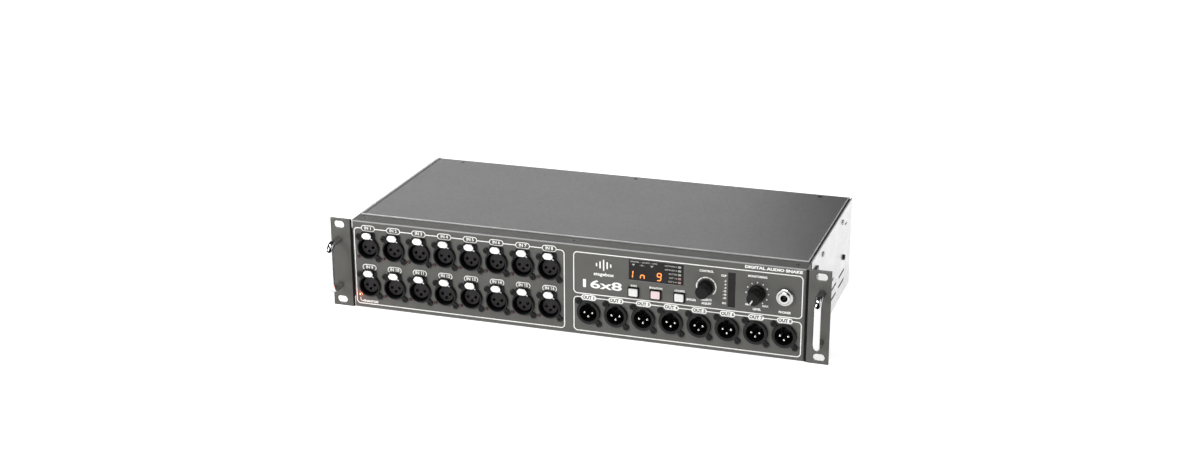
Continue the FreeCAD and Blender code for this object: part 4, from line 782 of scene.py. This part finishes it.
def draw_digit(ink, glyph, x, z, wide, tall, thick):
    """Seven-segment sign centred on x, z; its segments are tapered bars with a small slant."""
    half, step = wide / 2, tall / 2
    joints = {"a": (-half, step, half, step), "b": (half, step, half, 0),
              "c": (half, 0, half, -step), "d": (-half, -step, half, -step),
              "e": (-half, 0, -half, -step), "f": (-half, step, -half, 0), "g": (-half, 0, half, 0)}
    for name in SEGMENTS[glyph]:
        x0, z0, x1, z1 = joints[name]
        run = Vector((x1 - x0, z1 - z0)).normalized()
        side = Vector((-run.y, run.x)) * thick / 2
        first, last = Vector((x0, z0)) + run * thick * 0.12, Vector((x1, z1)) - run * thick * 0.12
        bite = run * thick / 2
        outline = [first, first + bite - side, last - bite - side, last,
                   last - bite + side, first + bite + side]
        ink.plate([(x + p.x + p.y * SLANT, z + p.y) for p in outline])


def make_display():
    """The lit number, the dim legend and the two groups of status lamps."""
    left, low, top = WINDOW_LOW.x + RIM, WINDOW_LOW.z + RIM, WINDOW_HIGH.z - RIM
    digits = glass_print(GLASS)
    for glyph, shift in SIGNS:
        draw_digit(digits, glyph, left + shift * MM, low + 5.6 * MM, 3.5 * MM, 6.9 * MM, 0.9 * MM)
    digits.finish("display_digits", LIT_DIGIT, "window")
    legend = glass_print(GLASS)
    lamps_x = WINDOW_HIGH.x - RIM - 4.0 * MM
    for words, drop in LAMP_ROWS:
        legend.text(words, lamps_x - 2.2 * MM, top - drop * MM, 1.35 * MM, align="RIGHT", bold=0.03)
    legend.text("CHANNEL  /  SOURCE  /  LEVEL", left + 14.0 * MM, top - 1.9 * MM, SMALL, bold=0.03)
    legend.text("- SET -", left + 12.5 * MM, top - 4.9 * MM, SMALL, bold=0.03)
    for shift in (4.2, 21.6):
        x, z = left + shift * MM, top - 4.6 * MM
        legend.plate([(x, z - 1.3 * MM), (x + 1.5 * MM, z + 0.6 * MM), (x - 1.5 * MM, z + 0.6 * MM)])
    legend.finish("display_legend", DIM_INK, None)
    groups = [("upper", BAR_PALE, LAMP_ROWS[:PALE_ROWS]), ("lower", BAR_WARM, LAMP_ROWS[PALE_ROWS:])]
    for name, colour, rows in groups:
        lamps = glass_print(GLASS)
        for _, drop in rows:
            z = top - drop * MM
            lamps.box(lamps_x - 1.2 * MM, z - 0.95 * MM, lamps_x + 1.6 * MM, z + 0.95 * MM)
        lamps.finish(f"display_lamps_{name}", colour, "window")


def make_meter():
    """The row of level cells behind the meter's window."""
    cells = glass_print(METER_LOW.y)
    centre = (METER_LOW.x + METER_HIGH.x) / 2
    for number in range(METER_CELLS):
        z = METER_LOW.z + RIM + 2.6 * MM + number * METER_STEP
        cells.box(centre - 1.9 * MM, z - 1.0 * MM, centre + 1.9 * MM, z + 1.0 * MM)
    cells.finish("meter_cells", METER_CELL, "window")


make_button_shadow_collars()
make_display()
make_meter()


# ---------------------------------------------------------------- rear face

NETWORK_PORTS = [Vector((x, 0, -29.85)) * MM for x in (60.0, 82.0, 104.0)]
MIDI_PORTS = [Vector((x, 0, -25.55)) * MM for x in (132.5, 153.5)]
# words, the place of their middle along x in metres, and their height above the unit's middle in mm
PORT_WORDS = [
    ("A", NETWORK_PORTS[0].x, -18.6), ("B", NETWORK_PORTS[1].x, -18.6),
    ("C", NETWORK_PORTS[2].x, -18.6), ("NETWORK", NETWORK_PORTS[1].x, -13.8),
    ("IN", MIDI_PORTS[0].x, -12.6), ("OUT", MIDI_PORTS[1].x, -12.6),
    ("MIDI", (MIDI_PORTS[0].x + MIDI_PORTS[1].x) / 2, -8.6), ("USB", middle("usb_socket").x, -20.4),
]
# start and end along x, and height, of the lines under NETWORK and MIDI
PORT_LINES = [
    (NETWORK_PORTS[0].x - 7 * MM, NETWORK_PORTS[2].x + 7 * MM, -16.2 * MM),
    (MIDI_PORTS[0].x - 8 * MM, MIDI_PORTS[1].x + 8 * MM, -10.8 * MM),
]
SPRINGS, SPRING_STEP = 8, 1.02 * MM
SPRING_SECTION = [(-0.22 * MM, 0), (0.22 * MM, 0), (0.22 * MM, 0.25 * MM), (-0.22 * MM, 0.25 * MM)]


def print_rear_labels():
    """Generic names of the rear sockets; the print runs along minus x."""
    ink = Print((0, REAR, 0), (-1, 0, 0), (0, 0, 1))
    for words, x, z in PORT_WORDS:
        ink.text(words, -x, z * MM, 2.3 * MM, bold=0.03)
    ink.text("AC INPUT", -middle("power_inlet").x, 0.8 * MM, 2.6 * MM, bold=0.03)
    for start, end, height in PORT_LINES:
        ink.line(-end, height, -start, height, 0.35 * MM)
    ink.finish("printed_rear_labels", DARK_INK, None)


def make_port_contacts():
    """Eight gilt springs in the roof of each network port."""
    for number, port in enumerate(NETWORK_PORTS, 1):
        def build(shape):
            for count in range(SPRINGS):
                x = port.x + (count - (SPRINGS - 1) / 2) * SPRING_STEP
                ends = ((REAR - 9.0 * MM, 0.6 * MM), (REAR - 2.2 * MM, 3.2 * MM))
                loft(shape, [[Vector((x + side, y, port.z + rise + lift))
                              for side, lift in SPRING_SECTION] for y, rise in ends])
        mesh = to_mesh("port_contacts", build)
        new_piece(f"network_contacts_{number}", mesh, GOLD, "case")


print_rear_labels()
make_port_contacts()


# ---------------------------------------------------------------- lamps, latches and knobs

def make_lit_lamp():
    """The glowing dome over the first lower phantom lamp, and the light that it spills."""
    x, z = INPUTS[PER_ROW][0] + LAMP_DROP[0], INPUTS[PER_ROW][1] + LAMP_DROP[1]
    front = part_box("phantom_leds")[0].y
    reach, tall, steps, proud = 1.74 * MM, 0.9 * MM, 8, 0.1 * MM
    profile = [(0, -tall - proud)]
    for number in range(1, steps + 1):
        turn = math.pi / 2 * number / steps
        profile.append((reach * math.sin(turn), -tall * math.cos(turn) - proud))
    profile += [(reach, 0.4 * MM), (0, 0.4 * MM)]
    mesh = lathe(profile, (x, front + tall, z), (0, 1, 0), 24)
    new_piece("phantom_lamp_lit", mesh, LIT_LAMP, "case", smooth=True)
    data = bpy.data.lights.new("lamp_spill", "POINT")
    data.color = (1.0, 0.10, 0.04)
    data.energy = 0.0012
    data.shadow_soft_size = 1.0 * MM
    spill = bpy.data.objects.new("lamp_spill", data)
    spill.location = (x, front - 3.5 * MM, z)
    bpy.context.scene.collection.objects.link(spill)


# the arm's way from its start, and the corners of its section, in mm
ARM_STEPS = [(0, 0, 0), (1.4, 0, -0.9), (2.5, 0, -1.7)]
ARM_SECTION = [(-0.35, -0.25), (0.35, -0.25), (0.35, 0.25), (-0.35, 0.25)]


def make_latch_arm(number, node):
    """Thin spring arm that shows beside each push tab, rooted in the tab's lower right."""
    low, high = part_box(node)
    start = Vector((high.x - 1.6 * MM, low.y + 0.6 * MM, middle(node).z - 1.0 * MM))

    def build(shape):
        loft(shape, [[start + (Vector(step) + Vector((side * 0.8, lift, side * 0.6))) * MM
                      for side, lift in ARM_SECTION] for step in ARM_STEPS])
    mesh = to_mesh("latch_arm", build)
    new_piece(f"latch_arm_{number:02d}", mesh, FINISHES["latch"].material,
              f"latch_{number:02d}")


def make_knob(node, body, pointer):
    """Ribbed knob on a flared skirt; replaces the plain CAD knob."""
    low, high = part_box(node)
    centre = middle(node)
    skirt = (high.x - low.x) / 2
    deep = high.y - low.y
    grip = 6.3 * MM
    rim = skirt - 0.35 * MM
    hollow = 2.3 * MM  # leaves room for the nut when the knob is pushed
    profile = [
        (0, 0), (grip * 0.62, 0), (grip * 0.86, 0.12 * MM), (grip * 0.97, 0.5 * MM),
        (grip, 1.0 * MM), (grip, 4.0 * MM), (grip, 7.0 * MM), (grip + 0.05 * MM, 10.0 * MM),
        (grip + 0.25 * MM, deep - 3.9 * MM), (grip + 0.9 * MM, deep - 3.2 * MM),
        (rim - 0.2 * MM, deep - 2.5 * MM), (rim, deep - 1.9 * MM), (skirt - 0.02 * MM, deep - 0.4 * MM),
        (skirt - 0.1 * MM, deep), (skirt - 1.8 * MM, deep), (skirt - 1.9 * MM, deep - hollow),
        (0, deep - hollow)]

    def ribbed(height):
        return 1.0 if 0.6 * MM < height < deep - 3.5 * MM else 0.0
    mesh = lathe(profile, (centre.x, low.y, centre.z), (0, 1, 0), 216, 36, 0.42 * MM, ribbed)
    knob = new_piece(f"{node}_ribbed", mesh, FINISHES["knob"].material, body, smooth=True)
    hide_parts(node)
    if pointer is not None:
        turn = math.radians(pointer)
        mark = Print((centre.x, low.y, centre.z), (math.cos(turn), 0, math.sin(turn)),
                     (-math.sin(turn), 0, math.cos(turn)))
        mark.box(1.2 * MM, -0.5 * MM, 5.4 * MM, 0.5 * MM, 0.06 * MM)
        mark.finish(f"{node}_pointer", INK, None, body)


def make_cover_rim():
    """Low rolled rim along the cover's front and side edges, coloured pale grey as a painted highlight."""
    low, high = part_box("top_cover")
    front = PANEL_HIGH.y + 0.2 * MM
    wide, tall, sink = 1.2 * MM, 1.15 * MM, 0.1 * MM
    outline = [(0, -sink), (wide, -sink), (wide, 0.15 * MM), (wide * 0.8, tall * 0.6),
               (wide * 0.55, tall * 0.95), (wide * 0.3, tall), (wide * 0.08, tall * 0.85),
               (0, tall * 0.6)]
    spine = [(low.x, high.y), (low.x, front), (high.x, front), (high.x, high.y)]
    inward = [(1, 0), (1, 1), (-1, 1), (-1, 0)]

    def build(shape):
        loft(shape, [[(x + across * side, y + across * ahead, COVER_TOP + rise)
                      for across, rise in outline]
                     for (x, y), (side, ahead) in zip(spine, inward)])
    mesh = to_mesh("cover_rim", build)
    new_piece("cover_rim", mesh, EDGE_HIGHLIGHT, "case")


def make_ear_groove_shadows():
    """Black strips in the grooves between the panel and the two ears: a painted shadow that darkens the
    grooves.
    """
    for side, ear in ((-1, "rack_ear_left"), (1, "rack_ear_right")):
        low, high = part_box(ear)
        groove = min(low.x, high.x, key=abs)
        strip = Print((groove, FACE, 0), (1, 0, 0), (0, 0, 1), -0.95 * MM)
        left, right = sorted((-0.6 * MM * side, 1.2 * MM * side))
        strip.box(left, low.z + 0.6 * MM, right, high.z - 0.6 * MM, 0.75 * MM)
        # These strips are painted shadow, not plastic parts.
        strip.finish(f"{ear}_gap", SHADOW_BLACK, "black_plastic")


make_cover_rim()
make_ear_groove_shadows()
make_lit_lamp()
for latch_number, latch_node in enumerate(LATCHES, 1):
    make_latch_arm(latch_number, latch_node)
make_knob("encoder_knob", "encoder_push", None)
make_knob("level_knob", "level_turn", 240)
